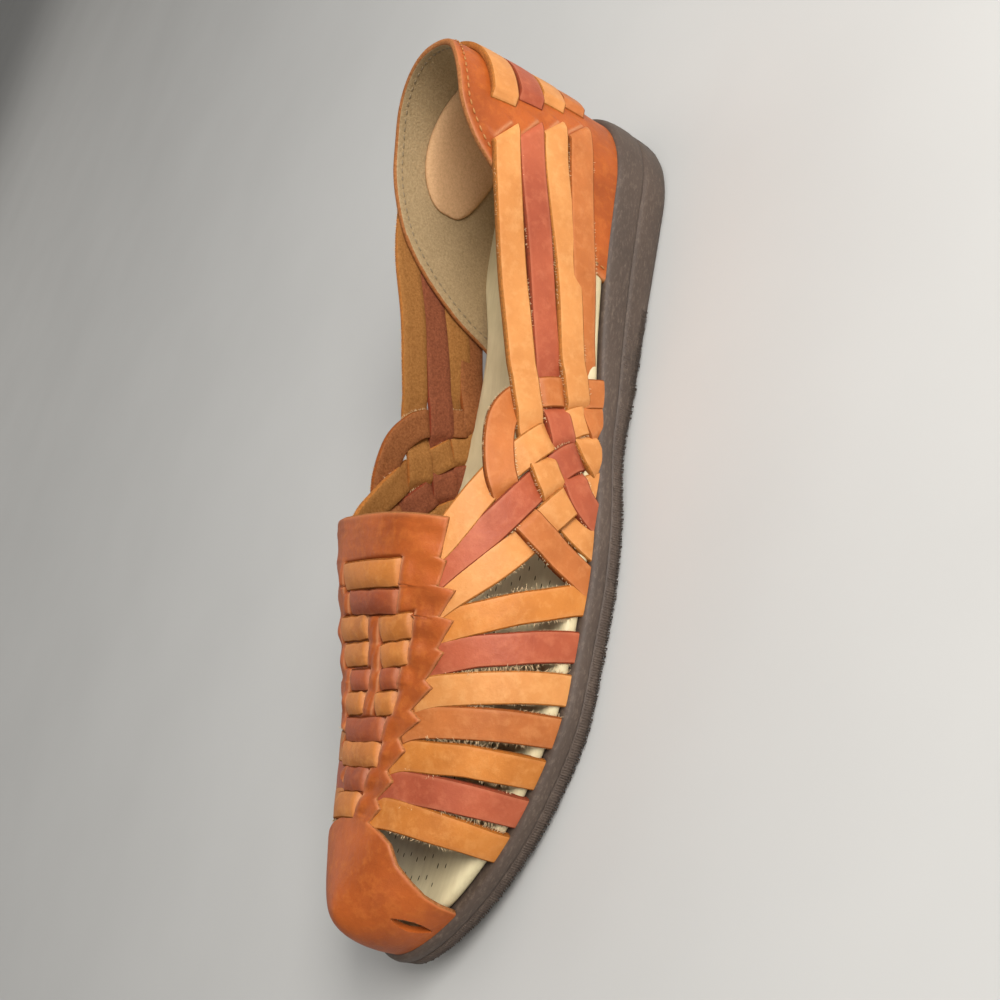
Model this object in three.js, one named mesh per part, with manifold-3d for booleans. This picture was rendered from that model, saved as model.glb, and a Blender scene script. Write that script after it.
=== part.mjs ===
// A woven leather huarache sandal for the left foot, standing on its sole.
// Millimetres. +X runs from heel to toe, +Y to the outer side of the foot, +Z up.
// The upper is lofted on a last: a row of sections along the foot gives the foot line, the ridge
// over the instep, and how full the wall between them is. Straps are laid on that surface by
// their station along the foot and by how far up the leather they lie from the foot line.
import * as THREE from 'three';
import { mergeVertices } from 'three/addons/utils/BufferGeometryUtils.js';
import Module from 'manifold-3d';

// ---- driving sizes ----
const soleLength = 247;
const ballWidth = 79.5;
const heelHeight = 19.5;
const instepRise = 84;
const toeRise = 19.5;
const wall = 2;
const strapWidth = 8.2;
const gap = 0.3;

// Outline ends: a round heel, and a toe drawn towards the big toe.
const heelRound = 30;
const toeRound = 62;
const toeDrift = -4;
const toePower = 2.2;
const toeFullness = 0.52;

// How far the upper's foot line sits inside the sole's edge, at the sides and at the two ends.
const footLineInset = { side: 1.6, end: 2.6 };

// Tread side: rolled heel, slight arch under the waist, toe spring from the ball on.
const heelRoll = { length: 11, height: 2.2 };
const arch = { from: 88, to: 134, height: 1.4 };
const toeSpring = { from: 178, height: 7.5 };

// The last, section by section. Station along the foot, outer and inner half width, height of the
// sole's rim, the ridge over the foot (station, sideways, height over the rim), fullness of the wall
// (small is upright, 1 is round).
const half = ballWidth / 2;
const sections = [
  { x: 0, outer: 0.730 * half, inner: 0.730 * half, rim: heelHeight, ridgeX: 26, ridgeY: 0, rise: instepRise, full: 0.40 },
  { x: 20, outer: 0.730 * half, inner: 0.717 * half, rim: 19.3, ridgeX: 36, ridgeY: 0, rise: instepRise, full: 0.40 },
  { x: 45, outer: 0.755 * half, inner: 0.694 * half, rim: 18.4, ridgeX: 52, ridgeY: 0, rise: 82, full: 0.43 },
  { x: 75, outer: 0.792 * half, inner: 0.616 * half, rim: 15.2, ridgeX: 77, ridgeY: -1, rise: 74, full: 0.48 },
  { x: 100, outer: 0.830 * half, inner: 0.654 * half, rim: 11.4, ridgeX: 101, ridgeY: -3, rise: 62, full: 0.56 },
  { x: 128, outer: 0.951 * half, inner: 0.767 * half, rim: 9.6, ridgeX: 128, ridgeY: -5, rise: 50, full: 0.66 },
  { x: 150, outer: 1.011 * half, inner: 0.893 * half, rim: 9.2, ridgeX: 150, ridgeY: -6, rise: 43, full: 0.74 },
  { x: 175, outer: 1.014 * half, inner: 0.981 * half, rim: 9.0, ridgeX: 175, ridgeY: -7, rise: 33.5, full: 0.78 },
  { x: 200, outer: 0.888 * half, inner: 1.019 * half, rim: 9.3, ridgeX: 199, ridgeY: -7, rise: 27, full: 0.80 },
  { x: 225, outer: 0.730 * half, inner: 0.994 * half, rim: 11.2, ridgeX: 220, ridgeY: -6, rise: 23.5, full: 0.80 },
  { x: soleLength, outer: 0.566 * half, inner: 0.981 * half, rim: 15.5, ridgeX: 234, ridgeY: -5, rise: toeRise, full: 0.80 },
];

// How far each layer of leather stands off the last: straps that pass under lie lowest.
const layer = {
  under: { top: 0, bottom: -wall },
  over: { top: 0.7, bottom: 0.7 - wall },
  loop: { top: 1.3, bottom: 1.3 - wall },
  panel: { top: 1, bottom: 1 - wall },
  counter: { top: 1, bottom: 1 - wall },
  band: { top: 2.3, bottom: 2.3 - wall, endSink: 1.6 },
};

// Heel counter: height of its top edge up the leather, by station, outer and inner side.
const counterEdge = {
  outer: [
    { x: 0, up: 53 },
    { x: 12, up: 54.5 },
    { x: 26, up: 53 },
    { x: 36, up: 48 },
    { x: 44, up: 40 },
    { x: 50, up: 30 },
    { x: 55, up: 17 },
    { x: 60, up: 0 },
  ],
  inner: [
    { x: 0, up: 53 },
    { x: 10, up: 49 },
    { x: 20, up: 45 },
    { x: 33, up: 41.5 },
    { x: 46, up: 35.5 },
    { x: 56, up: 27 },
    { x: 65, up: 15 },
    { x: 72, up: 0 },
  ],
};

// Vamp and toe cap: height of the panel's lower edge up the leather, the same on both sides.
const vampEdge = [
  { x: 139, up: 39 },
  { x: 146, up: 40 },
  { x: 155, up: 36 },
  { x: 165, up: 33 },
  { x: 180, up: 34 },
  { x: 196, up: 36 },
  { x: 212, up: 35 },
  { x: 216.5, up: 33 },
  { x: 219, up: 26 },
  { x: 223, up: 20.5 },
  { x: 227, up: 14 },
  { x: 230, up: 6 },
  { x: 231, up: -3 },
];

// Bands of the same straps round the outside of the counter: height at the back of the heel, and
// the slits either side that they come out of.
const heelBands = [
  { backUp: 43, slitX: 24, slitUp: 40 },
  { backUp: 34, slitX: 20, slitUp: 31.5 },
  { backUp: 25, slitX: 16, slitUp: 23.5 },
  { backUp: 16, slitX: 12, slitUp: 15.5 },
];

// Lengthwise straps of a side, from the slit in the counter to the sole: station and height.
const sideStraps = [
  { route: [[30, 39], [45, 36], [78, 28.5], [99, 24.5], [110, 21], [122, 16], [129, 10], [134, 4], [137.5, -6]] },
  { route: [[26, 32], [40, 29], [75, 20], [93, 17], [107, 13], [116, 9.5], [125, 5], [130, -6]] },
  { route: [[23.5, 24], [35, 22], [72, 12], [94, 9], [103, 6], [111, 2], [117, -6]] },
  { route: [[20, 15.5], [30, 14], [69, 7.5], [87, 5.2], [99, 2.5], [109, -6]] },
];

// Crosswise straps of a side. The first leaves the sole, rounds the throat in a loop and comes
// back to the sole; the others come down from slits in the vamp.
const crossStraps = [
  { level: layer.loop, route: [[91, -6], [93.5, 2], [96, 9], [98.5, 17], [103, 25], [110, 29.5], [119, 30], [127, 28],
    [135, 20.5], [141, 11], [145, 2], [148, -6]] },
  { level: layer.over, route: [[151, 46], [145, 40.5], [131.6, 33], [125, 29], [115.4, 21], [109, 14], [103, 6.5], [98, -6]] },
  { level: layer.over, route: [[158, 44], [151.5, 38.5], [141, 30], [127, 20], [121.5, 15.5], [115, 9.5], [107, -6]] },
  { level: layer.over, route: [[165, 43], [158.6, 36.5], [150.5, 28], [141, 20], [135, 15.5], [129, 11], [123, 5], [117, -6]] },
];

// Where the panel's edge leaves the last forefoot strap and turns down to the sole.
const capFrom = 216;

// Forefoot straps of a side, from the slit in the vamp straight to the sole.
const forefootStraps = [
  { slitX: 165.5, slitUp: 35.0, soleX: 151.0 },
  { slitX: 173.8, slitUp: 36.0, soleX: 163.5 },
  { slitX: 182.4, slitUp: 36.8, soleX: 174.5 },
  { slitX: 190.0, slitUp: 37.8, soleX: 185.5 },
  { slitX: 198.5, slitUp: 38.2, soleX: 196.5 },
  { slitX: 206.5, slitUp: 37.6, soleX: 206.5 },
  { slitX: 214.0, slitUp: 36.2, soleX: 216.0 },
];

// ---- small tools ----
// A smooth curve through the rows of a table that never overshoots them.
function through(rows, xColumn, yColumn) {
  const xs = rows.map((row) => row[xColumn]);
  const ys = rows.map((row) => row[yColumn]);
  const last = xs.length - 1;
  const slope = (i) => (ys[i + 1] - ys[i]) / (xs[i + 1] - xs[i]);
  const tangent = xs.map((_, i) => {
    if (i === 0) return slope(0);
    if (i === last) return slope(last - 1);
    const before = slope(i - 1);
    const after = slope(i);
    if (before * after <= 0) return 0;
    const wide = 2 * (xs[i + 1] - xs[i]) + (xs[i] - xs[i - 1]);
    const narrow = (xs[i + 1] - xs[i]) + 2 * (xs[i] - xs[i - 1]);
    return (wide + narrow) / (wide / before + narrow / after);
  });
  return (x) => {
    const at = Math.min(Math.max(x, xs[0]), xs[last]);
    let i = 0;
    while (i < last - 1 && at > xs[i + 1]) i += 1;
    const step = xs[i + 1] - xs[i];
    const t = (at - xs[i]) / step;
    const left = (1 + 2 * t) * (1 - t) ** 2 * ys[i] + t * (1 - t) ** 2 * step * tangent[i];
    const right = t * t * (3 - 2 * t) * ys[i + 1] + t * t * (t - 1) * step * tangent[i + 1];
    return left + right;
  };
}

const range = (count) => Array.from({ length: count }, (_, i) => i);
const clamp01 = (t) => Math.min(Math.max(t, 0), 1);

const column = {};
for (const name of ['outer', 'inner', 'rim', 'ridgeX', 'ridgeY', 'rise', 'full']) {
  column[name] = through(sections, 'x', name);
}

// ---- the sole's outline ----
// Stations crowd towards the ends as a turn of angle does, so heel and toe come out round.
const stationAt = (turn) => (soleLength / 2) * (1 - Math.cos(turn));
const turnAt = (x) => Math.acos(1 - (2 * x) / soleLength);
const stations = (count) => range(count + 1).map((i) => stationAt((Math.PI * i) / count));

function outlineY(x, side) {
  const fromHeel = clamp01((heelRound - x) / heelRound);
  const intoToe = clamp01((x - (soleLength - toeRound)) / toeRound);
  const closing = Math.sqrt(1 - fromHeel ** 2) * (1 - intoToe ** toePower) ** toeFullness;
  const width = side > 0 ? column.outer(x) : -column.inner(x);
  return width * closing + toeDrift * intoToe ** 2 * (1 - closing);
}

function treadHeight(x) {
  const roll = heelRoll.height * clamp01((heelRoll.length - x) / heelRoll.length) ** 2;
  const waist = clamp01((x - arch.from) / (arch.to - arch.from));
  const spring = toeSpring.height * clamp01((x - toeSpring.from) / (soleLength - toeSpring.from)) ** 2;
  return roll + arch.height * Math.sin(Math.PI * waist) ** 2 + spring;
}

// A point on the outline drawn in by inset at the sides and by endInset at heel and toe, at the
// height that a function of the station gives.
function outlinePoint(x, side, height, inset, endInset = inset) {
  const centre = toeDrift * clamp01((x - (soleLength - toeRound)) / toeRound) ** 2;
  const inX = endInset + x * ((soleLength - 2 * endInset) / soleLength);
  const inY = centre + (outlineY(x, side) - centre) * (1 - inset / half);
  return new THREE.Vector3(inX, inY, height(inX));
}

// The insole is drawn in further along the arch of the foot, where daylight shows beside it.
const waistGap = { from: 36, to: 106, depth: 5.5 };

function waistNarrowing(x) {
  return waistGap.depth * Math.sin(Math.PI * clamp01((x - waistGap.from) / (waistGap.to - waistGap.from))) ** 2;
}

// ---- the last's surface ----
const ribPoints = 26;
const ribRise = 0.95;

// One rib: from the foot line on one side up to the ridge.
function rib(x, side) {
  const foot = outlinePoint(x, side, column.rim, footLineInset.side, footLineInset.end);
  const ridge = new THREE.Vector3(column.ridgeX(x), column.ridgeY(x), column.rim(x) + column.rise(x));
  return range(ribPoints).map((i) => {
    const angle = (Math.PI / 2) * (i / (ribPoints - 1));
    const out = Math.abs(Math.cos(angle)) ** column.full(x);
    const up = Math.sin(angle) ** ribRise;
    return new THREE.Vector3(
      ridge.x + (foot.x - ridge.x) * out,
      ridge.y + (foot.y - ridge.y) * out,
      foot.z + (ridge.z - foot.z) * up,
    );
  });
}

// A whole section, outer foot line to inner foot line, with the length of leather along it.
function section(x) {
  const points = [...rib(x, 1), ...rib(x, -1).reverse().slice(1)];
  const girth = [0];
  for (let i = 1; i < points.length; i += 1) {
    girth.push(girth[i - 1] + points[i].distanceTo(points[i - 1]));
  }
  return { points, girth, total: girth[girth.length - 1] };
}

const skinSteps = 180;
const skin = range(skinSteps + 1).map((i) => section(stationAt((Math.PI * i) / skinSteps)));

// A point on a section by length of leather; past either end it drops straight down.
function alongSection({ points, girth, total }, length) {
  if (length < 0) return points[0].clone().setZ(points[0].z + length);
  if (length > total) return points[points.length - 1].clone().setZ(points[0].z + total - length);
  let i = 1;
  while (i < girth.length - 1 && girth[i] < length) i += 1;
  const t = (length - girth[i - 1]) / (girth[i] - girth[i - 1]);
  return points[i - 1].clone().lerp(points[i], t);
}

// The skin at a turn round the foot and a height up the leather from the foot line. The turn is
// zero at the back of the heel, grows along the outer side to pi at the toe, and is negative on
// the inner side.
function skinPoint(anyTurn, up) {
  const turn = anyTurn > Math.PI ? anyTurn - 2 * Math.PI : anyTurn;
  const at = (Math.abs(turn) / Math.PI) * skinSteps;
  const i = Math.min(Math.floor(at), skinSteps - 1);
  const [a, b] = [skin[i], skin[i + 1]].map((cut) => alongSection(cut, turn < 0 ? cut.total - up : up));
  return a.lerp(b, at - i);
}

function skinNormal(turn, up) {
  const aside = 0.02;
  const above = 1.5;
  const low = Math.max(up, above + 0.1);
  const from = turn - aside < -Math.PI ? turn - aside + 2 * Math.PI : turn - aside;
  const round = skinPoint(turn + aside, low).sub(skinPoint(from, low));
  const rising = skinPoint(turn, low + above).sub(skinPoint(turn, low - above));
  return rising.cross(round).normalize();
}

const lifted = (turn, up, lift) => skinPoint(turn, up).addScaledVector(skinNormal(turn, up), lift);

// ---- solids ----
const wasm = await Module();
wasm.setup();
const weld = 1e-3;

function toSolid(positions, triangles) {
  const geometry = new THREE.BufferGeometry();
  geometry.setAttribute('position', new THREE.Float32BufferAttribute(positions, 3));
  geometry.setIndex(triangles);
  const merged = mergeVertices(geometry, weld);
  return new wasm.Manifold(new wasm.Mesh({
    numProp: 3,
    vertProperties: new Float32Array(merged.attributes.position.array),
    triVerts: new Uint32Array(merged.index.array),
  }));
}

function toGeometry(solid) {
  const mesh = solid.getMesh();
  const geometry = new THREE.BufferGeometry();
  geometry.setAttribute('position', new THREE.Float32BufferAttribute(mesh.vertProperties, 3));
  geometry.setIndex(Array.from(mesh.triVerts));
  return geometry;
}

// Leather pressed together holds no closed pockets, so only the outer skin is kept.
function withoutPockets(solid) {
  const mesh = solid.getMesh();
  const welded = toSolid(Array.from(mesh.vertProperties), Array.from(mesh.triVerts));
  const shells = welded.decompose();
  return shells.reduce((most, shell) => (shell.volume() > most.volume() ? shell : most));
}

// A sheet between an outer and an inner grid of points, rows by columns, closed along its edges.
// A folded sheet's last row meets itself, so it is left to weld shut there.
function sheet(outer, inner, folded = false) {
  const rows = outer.length;
  const cols = outer[0].length;
  const at = (layer, row, col) => layer * rows * cols + row * cols + col;
  const triangles = [];
  const quad = (a, b, c, d) => triangles.push(a, b, c, a, c, d);
  for (let row = 0; row < rows - 1; row += 1) {
    for (let col = 0; col < cols - 1; col += 1) {
      quad(at(0, row, col), at(0, row + 1, col), at(0, row + 1, col + 1), at(0, row, col + 1));
      quad(at(1, row, col), at(1, row, col + 1), at(1, row + 1, col + 1), at(1, row + 1, col));
    }
    const end = cols - 1;
    quad(at(0, row, 0), at(1, row, 0), at(1, row + 1, 0), at(0, row + 1, 0));
    quad(at(0, row, end), at(0, row + 1, end), at(1, row + 1, end), at(1, row, end));
  }
  const end = rows - 1;
  for (let col = 0; col < cols - 1; col += 1) {
    quad(at(0, 0, col), at(0, 0, col + 1), at(1, 0, col + 1), at(1, 0, col));
    if (!folded) quad(at(0, end, col), at(1, end, col), at(1, end, col + 1), at(0, end, col + 1));
  }
  const positions = [...outer.flat(), ...inner.flat()].flatMap((p) => [p.x, p.y, p.z]);
  return toSolid(positions, triangles);
}

// A block with the sole's outline, drawn in and lifted level by level from the bottom up.
const blockStations = 40;

function block(levels) {
  const xs = stations(blockStations);
  const rings = levels.map(({ inset, ends = inset, height, waist = 0 }) => [
    ...xs.map((x) => outlinePoint(x, 1, height, inset, ends)),
    ...xs.slice(1, -1).reverse().map((x) => (
      outlinePoint(x, -1, height, inset + waist * waistNarrowing(x), ends))),
  ]);
  const count = rings[0].length;
  const at = (ring, i) => ring * count + ((i + count) % count);
  const triangles = [];
  for (let ring = 0; ring < rings.length - 1; ring += 1) {
    for (let i = 0; i < count; i += 1) {
      triangles.push(at(ring, i), at(ring + 1, i + 1), at(ring, i + 1));
      triangles.push(at(ring, i), at(ring + 1, i), at(ring + 1, i + 1));
    }
  }
  const top = rings.length - 1;
  for (let i = 0; i < blockStations; i += 1) {
    if (i > 0) triangles.push(at(top, i), at(top, -i), at(top, i + 1), at(0, i), at(0, i + 1), at(0, -i));
    if (i < blockStations - 1) {
      triangles.push(at(top, i + 1), at(top, -i), at(top, -i - 1));
      triangles.push(at(0, i + 1), at(0, -i - 1), at(0, -i));
    }
  }
  return toSolid(rings.flat().flatMap((p) => [p.x, p.y, p.z]), triangles);
}

// A bar lying across, tipped to follow the tread.
function bar(length, width, height, centre, tilt) {
  const geometry = new THREE.BoxGeometry(length, width, height);
  geometry.rotateY(tilt);
  geometry.translate(centre.x, centre.y, centre.z);
  geometry.deleteAttribute('normal');
  geometry.deleteAttribute('uv');
  const merged = mergeVertices(geometry, weld);
  return toSolid(Array.from(merged.attributes.position.array), Array.from(merged.index.array));
}

// ---- outsole ----
const treadEdge = { inset: 2.6, height: 2.2 };
const lip = { inset: 1.2, height: 1.2 };
const groove = { width: 2.4, depth: 1.5, pitch: 9, margin: 7 };

// Runs of grooves leave the middle of the heel and of the ball flat.
const grooveRuns = [
  { from: 15, to: 33 },
  { from: 60, to: 78 },
  { from: 142, to: 151 },
  { from: 176, to: 230 },
];

function outsoleSolid() {
  let solid = block([
    { inset: treadEdge.inset, height: treadHeight },
    { inset: 0.3, height: (x) => treadHeight(x) + treadEdge.height },
    { inset: 0, height: (x) => (treadHeight(x) + column.rim(x)) / 2 },
    { inset: 0.4, height: (x) => column.rim(x) - lip.height },
    { inset: lip.inset, height: column.rim },
  ]);
  for (const run of grooveRuns) {
    for (let x = run.from; x <= run.to; x += groove.pitch) {
      const outer = outlineY(x, 1) - groove.margin;
      const inner = outlineY(x, -1) + groove.margin;
      const tilt = -Math.atan2(treadHeight(x + 1) - treadHeight(x - 1), 2);
      const centre = new THREE.Vector3(x, (outer + inner) / 2, treadHeight(x));
      solid = solid.subtract(bar(groove.width, outer - inner, 2 * groove.depth, centre, tilt));
    }
  }
  return solid;
}

// The sole's furthest reach to one side.
function soleWidest(side) {
  return side * Math.max(...stations(blockStations).map((x) => side * outlineY(x, side)));
}

// ---- insole ----
const insole = { inset: 5.3, thickness: 4, edge: 1.1 };

function insoleSolid() {
  const base = (x) => column.rim(x) + gap;
  return block([
    { inset: insole.inset + 0.7, height: base, waist: 1 },
    { inset: insole.inset, height: (x) => base(x) + insole.edge, waist: 1 },
    { inset: insole.inset + 0.2, height: (x) => base(x) + insole.thickness - insole.edge, waist: 1 },
    { inset: insole.inset + 1.5, height: (x) => base(x) + insole.thickness, waist: 1 },
  ]);
}

// ---- heel pad ----
const pad = {
  halfTurn: 0.74, from: 8, to: 37, thickness: 3, edge: 0.8, clear: 0.5, endShare: 0.4, columns: 12, rows: 6,
};

function heelPadSolid() {
  const middle = (pad.to + pad.from) / 2;
  const face = (offset) => range(pad.columns + 1).map((i) => {
    const across = (2 * i) / pad.columns - 1;
    const tall = pad.endShare + (1 - pad.endShare) * Math.sqrt(1 - across ** 4);
    return range(pad.rows + 1).map((j) => {
      const down = (2 * j) / pad.rows - 1;
      const up = middle - ((pad.to - pad.from) / 2) * tall * down;
      return lifted(pad.halfTurn * across, up, offset(across, down));
    });
  });
  const bulge = (across, down) => (1 - across ** 6) * (1 - down ** 6);
  const back = layer.counter.bottom - pad.clear;
  return sheet(
    face(() => back),
    face((across, down) => back - pad.edge - (pad.thickness - pad.edge) * bulge(across, down)),
  );
}

// ---- upper ----
// Routes mix turns with millimetres, so turns are scaled to about the same size.
const routeScale = 80;

// The side straps come out over the counter, standing further off the last up to its front edge.
const overCounter = { rise: 1.6, full: 44, none: 62 };

function counterRise(turn) {
  const past = (overCounter.none - stationAt(Math.abs(turn))) / (overCounter.none - overCounter.full);
  return overCounter.rise * clamp01(past);
}

layer.side = { ...layer.under, rise: counterRise };

// A strap laid along turns and heights, its two edges square to its path. Where its ends go down
// into slits they sink towards the last.
function strap(route, { top, bottom, endSink = 0, rise = () => 0 }, steps) {
  const path = new THREE.CatmullRomCurve3(
    route.map(([turn, up]) => new THREE.Vector3(turn * routeScale, up, 0)),
    false,
    'centripetal',
  );
  const step = 0.01;
  const on = (t) => {
    const p = path.getPoint(clamp01(t));
    return [p.x / routeScale, p.y];
  };
  const rows = range(steps + 1).map((i) => {
    const t = i / steps;
    const normal = skinNormal(...on(t));
    const along = skinPoint(...on(t + step)).sub(skinPoint(...on(t - step))).normalize();
    const across = along.cross(normal).normalize().multiplyScalar(strapWidth / 2);
    const middle = skinPoint(...on(t)).addScaledVector(normal, rise(on(t)[0]) - (i % steps === 0 ? endSink : 0));
    return (lift) => [1, -1].map((edge) => (
      middle.clone().addScaledVector(across, edge).addScaledVector(normal, lift)));
  });
  return sheet(rows.map((row) => row(top)), rows.map((row) => row(bottom)));
}

// The counter is lower on the inner side, so everything laid over it lies lower there too.
const innerDrop = { most: 5, until: 30, none: 75 };

function dropAt(x, side) {
  return side > 0 ? 0 : innerDrop.most * clamp01((innerDrop.none - x) / (innerDrop.none - innerDrop.until));
}

// The same route on either side of the foot, its stations turned into turns.
const onSide = (route, side) => route.map(([x, up]) => [side * turnAt(x), up - dropAt(x, side)]);

// The heel counter wraps the back of the heel from one front edge to the other.
const counterGrid = { columns: 28, rows: 6, below: -4, least: 0.4 };

function counterSolid() {
  const topAt = { 1: through(counterEdge.outer, 'x', 'up'), [-1]: through(counterEdge.inner, 'x', 'up') };
  const from = -turnAt(counterEdge.inner[counterEdge.inner.length - 1].x);
  const to = turnAt(counterEdge.outer[counterEdge.outer.length - 1].x);
  const face = (lift) => range(counterGrid.columns + 1).map((i) => {
    const turn = from + ((to - from) * i) / counterGrid.columns;
    const top = Math.max(topAt[turn < 0 ? -1 : 1](stationAt(Math.abs(turn))), counterGrid.least);
    return range(counterGrid.rows + 1).map((j) => (
      lifted(turn, top + ((counterGrid.below - top) * j) / counterGrid.rows, lift)));
  });
  return sheet(face(layer.counter.top), face(layer.counter.bottom));
}

// The vamp and toe cap run over the forefoot in one panel and fold down round the toe.
const vampGrid = { columns: 14, sideRows: 8, toeRows: 7 };

function vampSolid() {
  const edge = through(vampEdge, 'x', 'up');
  const capRows = vampEdge.filter((row) => row.x > capFrom).map((row) => row.x);
  const tipTurn = turnAt(capRows[capRows.length - 1]);
  const xs = [
    ...range(vampGrid.sideRows).map((i) => vampEdge[0].x + ((capFrom - vampEdge[0].x) * i) / vampGrid.sideRows),
    capFrom,
    ...capRows,
    ...range(vampGrid.toeRows).map((i) => (
      stationAt(tipTurn + ((Math.PI - tipTurn) * (i + 1)) / vampGrid.toeRows))),
  ];
  const face = (lift) => xs.map((x) => {
    const { total } = section(x);
    const low = edge(x);
    return range(vampGrid.columns + 1).map((j) => {
      const fromInner = low + ((total - 2 * low) * j) / vampGrid.columns;
      return fromInner < total / 2
        ? lifted(-turnAt(x), fromInner, lift)
        : lifted(turnAt(x), total - fromInner, lift);
    });
  });
  return sheet(face(layer.panel.top), face(layer.panel.bottom), true);
}

// A pointed slit through the toe cap, standing up from the sole.
const toeSlit = { x: 239, centreUp: 7.4, halfLength: 5.8, halfWidth: 1.5, tipWidth: 0.2, reach: 6, points: 6 };

function toeSlitSolid(side) {
  const turn = side * turnAt(toeSlit.x);
  const middle = skinPoint(turn, toeSlit.centreUp);
  const normal = skinNormal(turn, toeSlit.centreUp);
  const upward = skinPoint(turn, toeSlit.centreUp + 1).sub(skinPoint(turn, toeSlit.centreUp - 1)).normalize();
  const aside = upward.clone().cross(normal).normalize();
  const face = (reach) => [-1, 1].map((edge) => range(toeSlit.points + 1).map((i) => {
    const t = (2 * i) / toeSlit.points - 1;
    return middle.clone()
      .addScaledVector(upward, toeSlit.halfLength * t)
      .addScaledVector(aside, edge * (toeSlit.tipWidth + toeSlit.halfWidth * (1 - t * t)))
      .addScaledVector(normal, reach);
  }));
  return sheet(face(toeSlit.reach), face(-toeSlit.reach));
}

// How far each strap's route runs on: back under the vamp from its slit, and down below the foot line.
const tail = { back: 1.5, up: 4, below: -6 };
// The block that trims the upper level with the sole's top edge, wider than the sole.
const trim = { inset: -8, below: -1 };
const strapSteps = { band: 12, side: 11, cross: 12, forefoot: 7 };

function upperSolid() {
  const pieces = [counterSolid(), vampSolid()];
  for (const { backUp, slitX, slitUp } of heelBands) {
    const turn = turnAt(slitX);
    const sideUp = (slitUp + 2 * backUp) / 3;
    const inner = [[-turn, slitUp - innerDrop.most], [-turn / 2, sideUp - innerDrop.most / 2]];
    const route = [...inner, [0, backUp], [turn / 2, sideUp], [turn, slitUp]];
    pieces.push(strap(route, layer.band, strapSteps.band));
  }
  for (const side of [1, -1]) {
    for (const { route } of sideStraps) pieces.push(strap(onSide(route, side), layer.side, strapSteps.side));
    for (const { route, level } of crossStraps) pieces.push(strap(onSide(route, side), level, strapSteps.cross));
    for (const { slitX, slitUp, soleX } of forefootStraps) {
      const start = [slitX + tail.back, slitUp + tail.up];
      const route = [start, [slitX, slitUp], [soleX, 0], [soleX, tail.below]];
      pieces.push(strap(onSide(route, side), layer.under, strapSteps.forefoot));
    }
  }
  let solid = pieces.reduce((whole, piece) => whole.add(piece));
  for (const side of [1, -1]) solid = solid.subtract(toeSlitSolid(side));
  const below = block([
    { inset: trim.inset, ends: 0, height: () => trim.below },
    { inset: trim.inset, ends: 0, height: (x) => column.rim(x) + gap },
  ]);
  return withoutPockets(solid.subtract(below));
}

// ---- assembly ----
const leather = new THREE.MeshStandardMaterial({ color: 0xc9752f, roughness: 0.55, metalness: 0 });
const rubber = new THREE.MeshStandardMaterial({ color: 0x5f5149, roughness: 0.8, metalness: 0 });
const liner = new THREE.MeshStandardMaterial({ color: 0xe6dcb8, roughness: 0.6, metalness: 0 });
const nubuck = new THREE.MeshStandardMaterial({ color: 0xb98f63, roughness: 0.8, metalness: 0 });

function named(name, solid, material) {
  const mesh = new THREE.Mesh(toGeometry(solid), material);
  mesh.name = name;
  return mesh;
}

// The group's origin is under the middle of the sole.
const sandal = new THREE.Group();
sandal.position.x = -soleLength / 2;
sandal.position.y = -(soleWidest(1) + soleWidest(-1)) / 2;
sandal.add(named('outsole', outsoleSolid(), rubber));
sandal.add(named('insole', insoleSolid(), liner));
sandal.add(named('upper', upperSolid(), leather));
sandal.add(named('heel_pad', heelPadSolid(), nubuck));

export default sandal;
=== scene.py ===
import math

import bmesh
import bpy
import numpy as np
from mathutils import Matrix, Vector


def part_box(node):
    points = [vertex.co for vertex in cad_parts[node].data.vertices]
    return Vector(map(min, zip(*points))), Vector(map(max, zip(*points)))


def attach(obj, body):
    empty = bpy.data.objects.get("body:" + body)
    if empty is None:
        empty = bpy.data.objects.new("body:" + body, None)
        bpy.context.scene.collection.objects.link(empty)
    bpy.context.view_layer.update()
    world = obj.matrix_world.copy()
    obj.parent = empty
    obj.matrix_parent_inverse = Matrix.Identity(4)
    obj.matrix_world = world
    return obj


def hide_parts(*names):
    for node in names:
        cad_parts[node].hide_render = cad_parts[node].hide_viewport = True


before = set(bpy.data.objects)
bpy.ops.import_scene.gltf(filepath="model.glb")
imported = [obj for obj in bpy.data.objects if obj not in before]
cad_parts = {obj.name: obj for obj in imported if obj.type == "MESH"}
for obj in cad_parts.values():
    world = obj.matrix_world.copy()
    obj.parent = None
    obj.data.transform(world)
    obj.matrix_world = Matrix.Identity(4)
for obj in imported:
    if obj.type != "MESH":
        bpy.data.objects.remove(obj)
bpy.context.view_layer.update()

# ---------------------------------------------------------------- outsole
# One moulded unit of brown rubber. Its wall has a smooth upper band under a rolled lip and a
# lower band of fine upright ribs; the tread has shallow grooves across. The upper is cemented
# to its top.
MM = 0.001
LENGTH = 247.0
HALF_BALL = 79.5 / 2
HEEL_ROUND = 30.0
TOE_ROUND = 62.0
TOE_DRIFT = -4.0
TOE_POWER = 2.2
TOE_FULLNESS = 0.52

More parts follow.
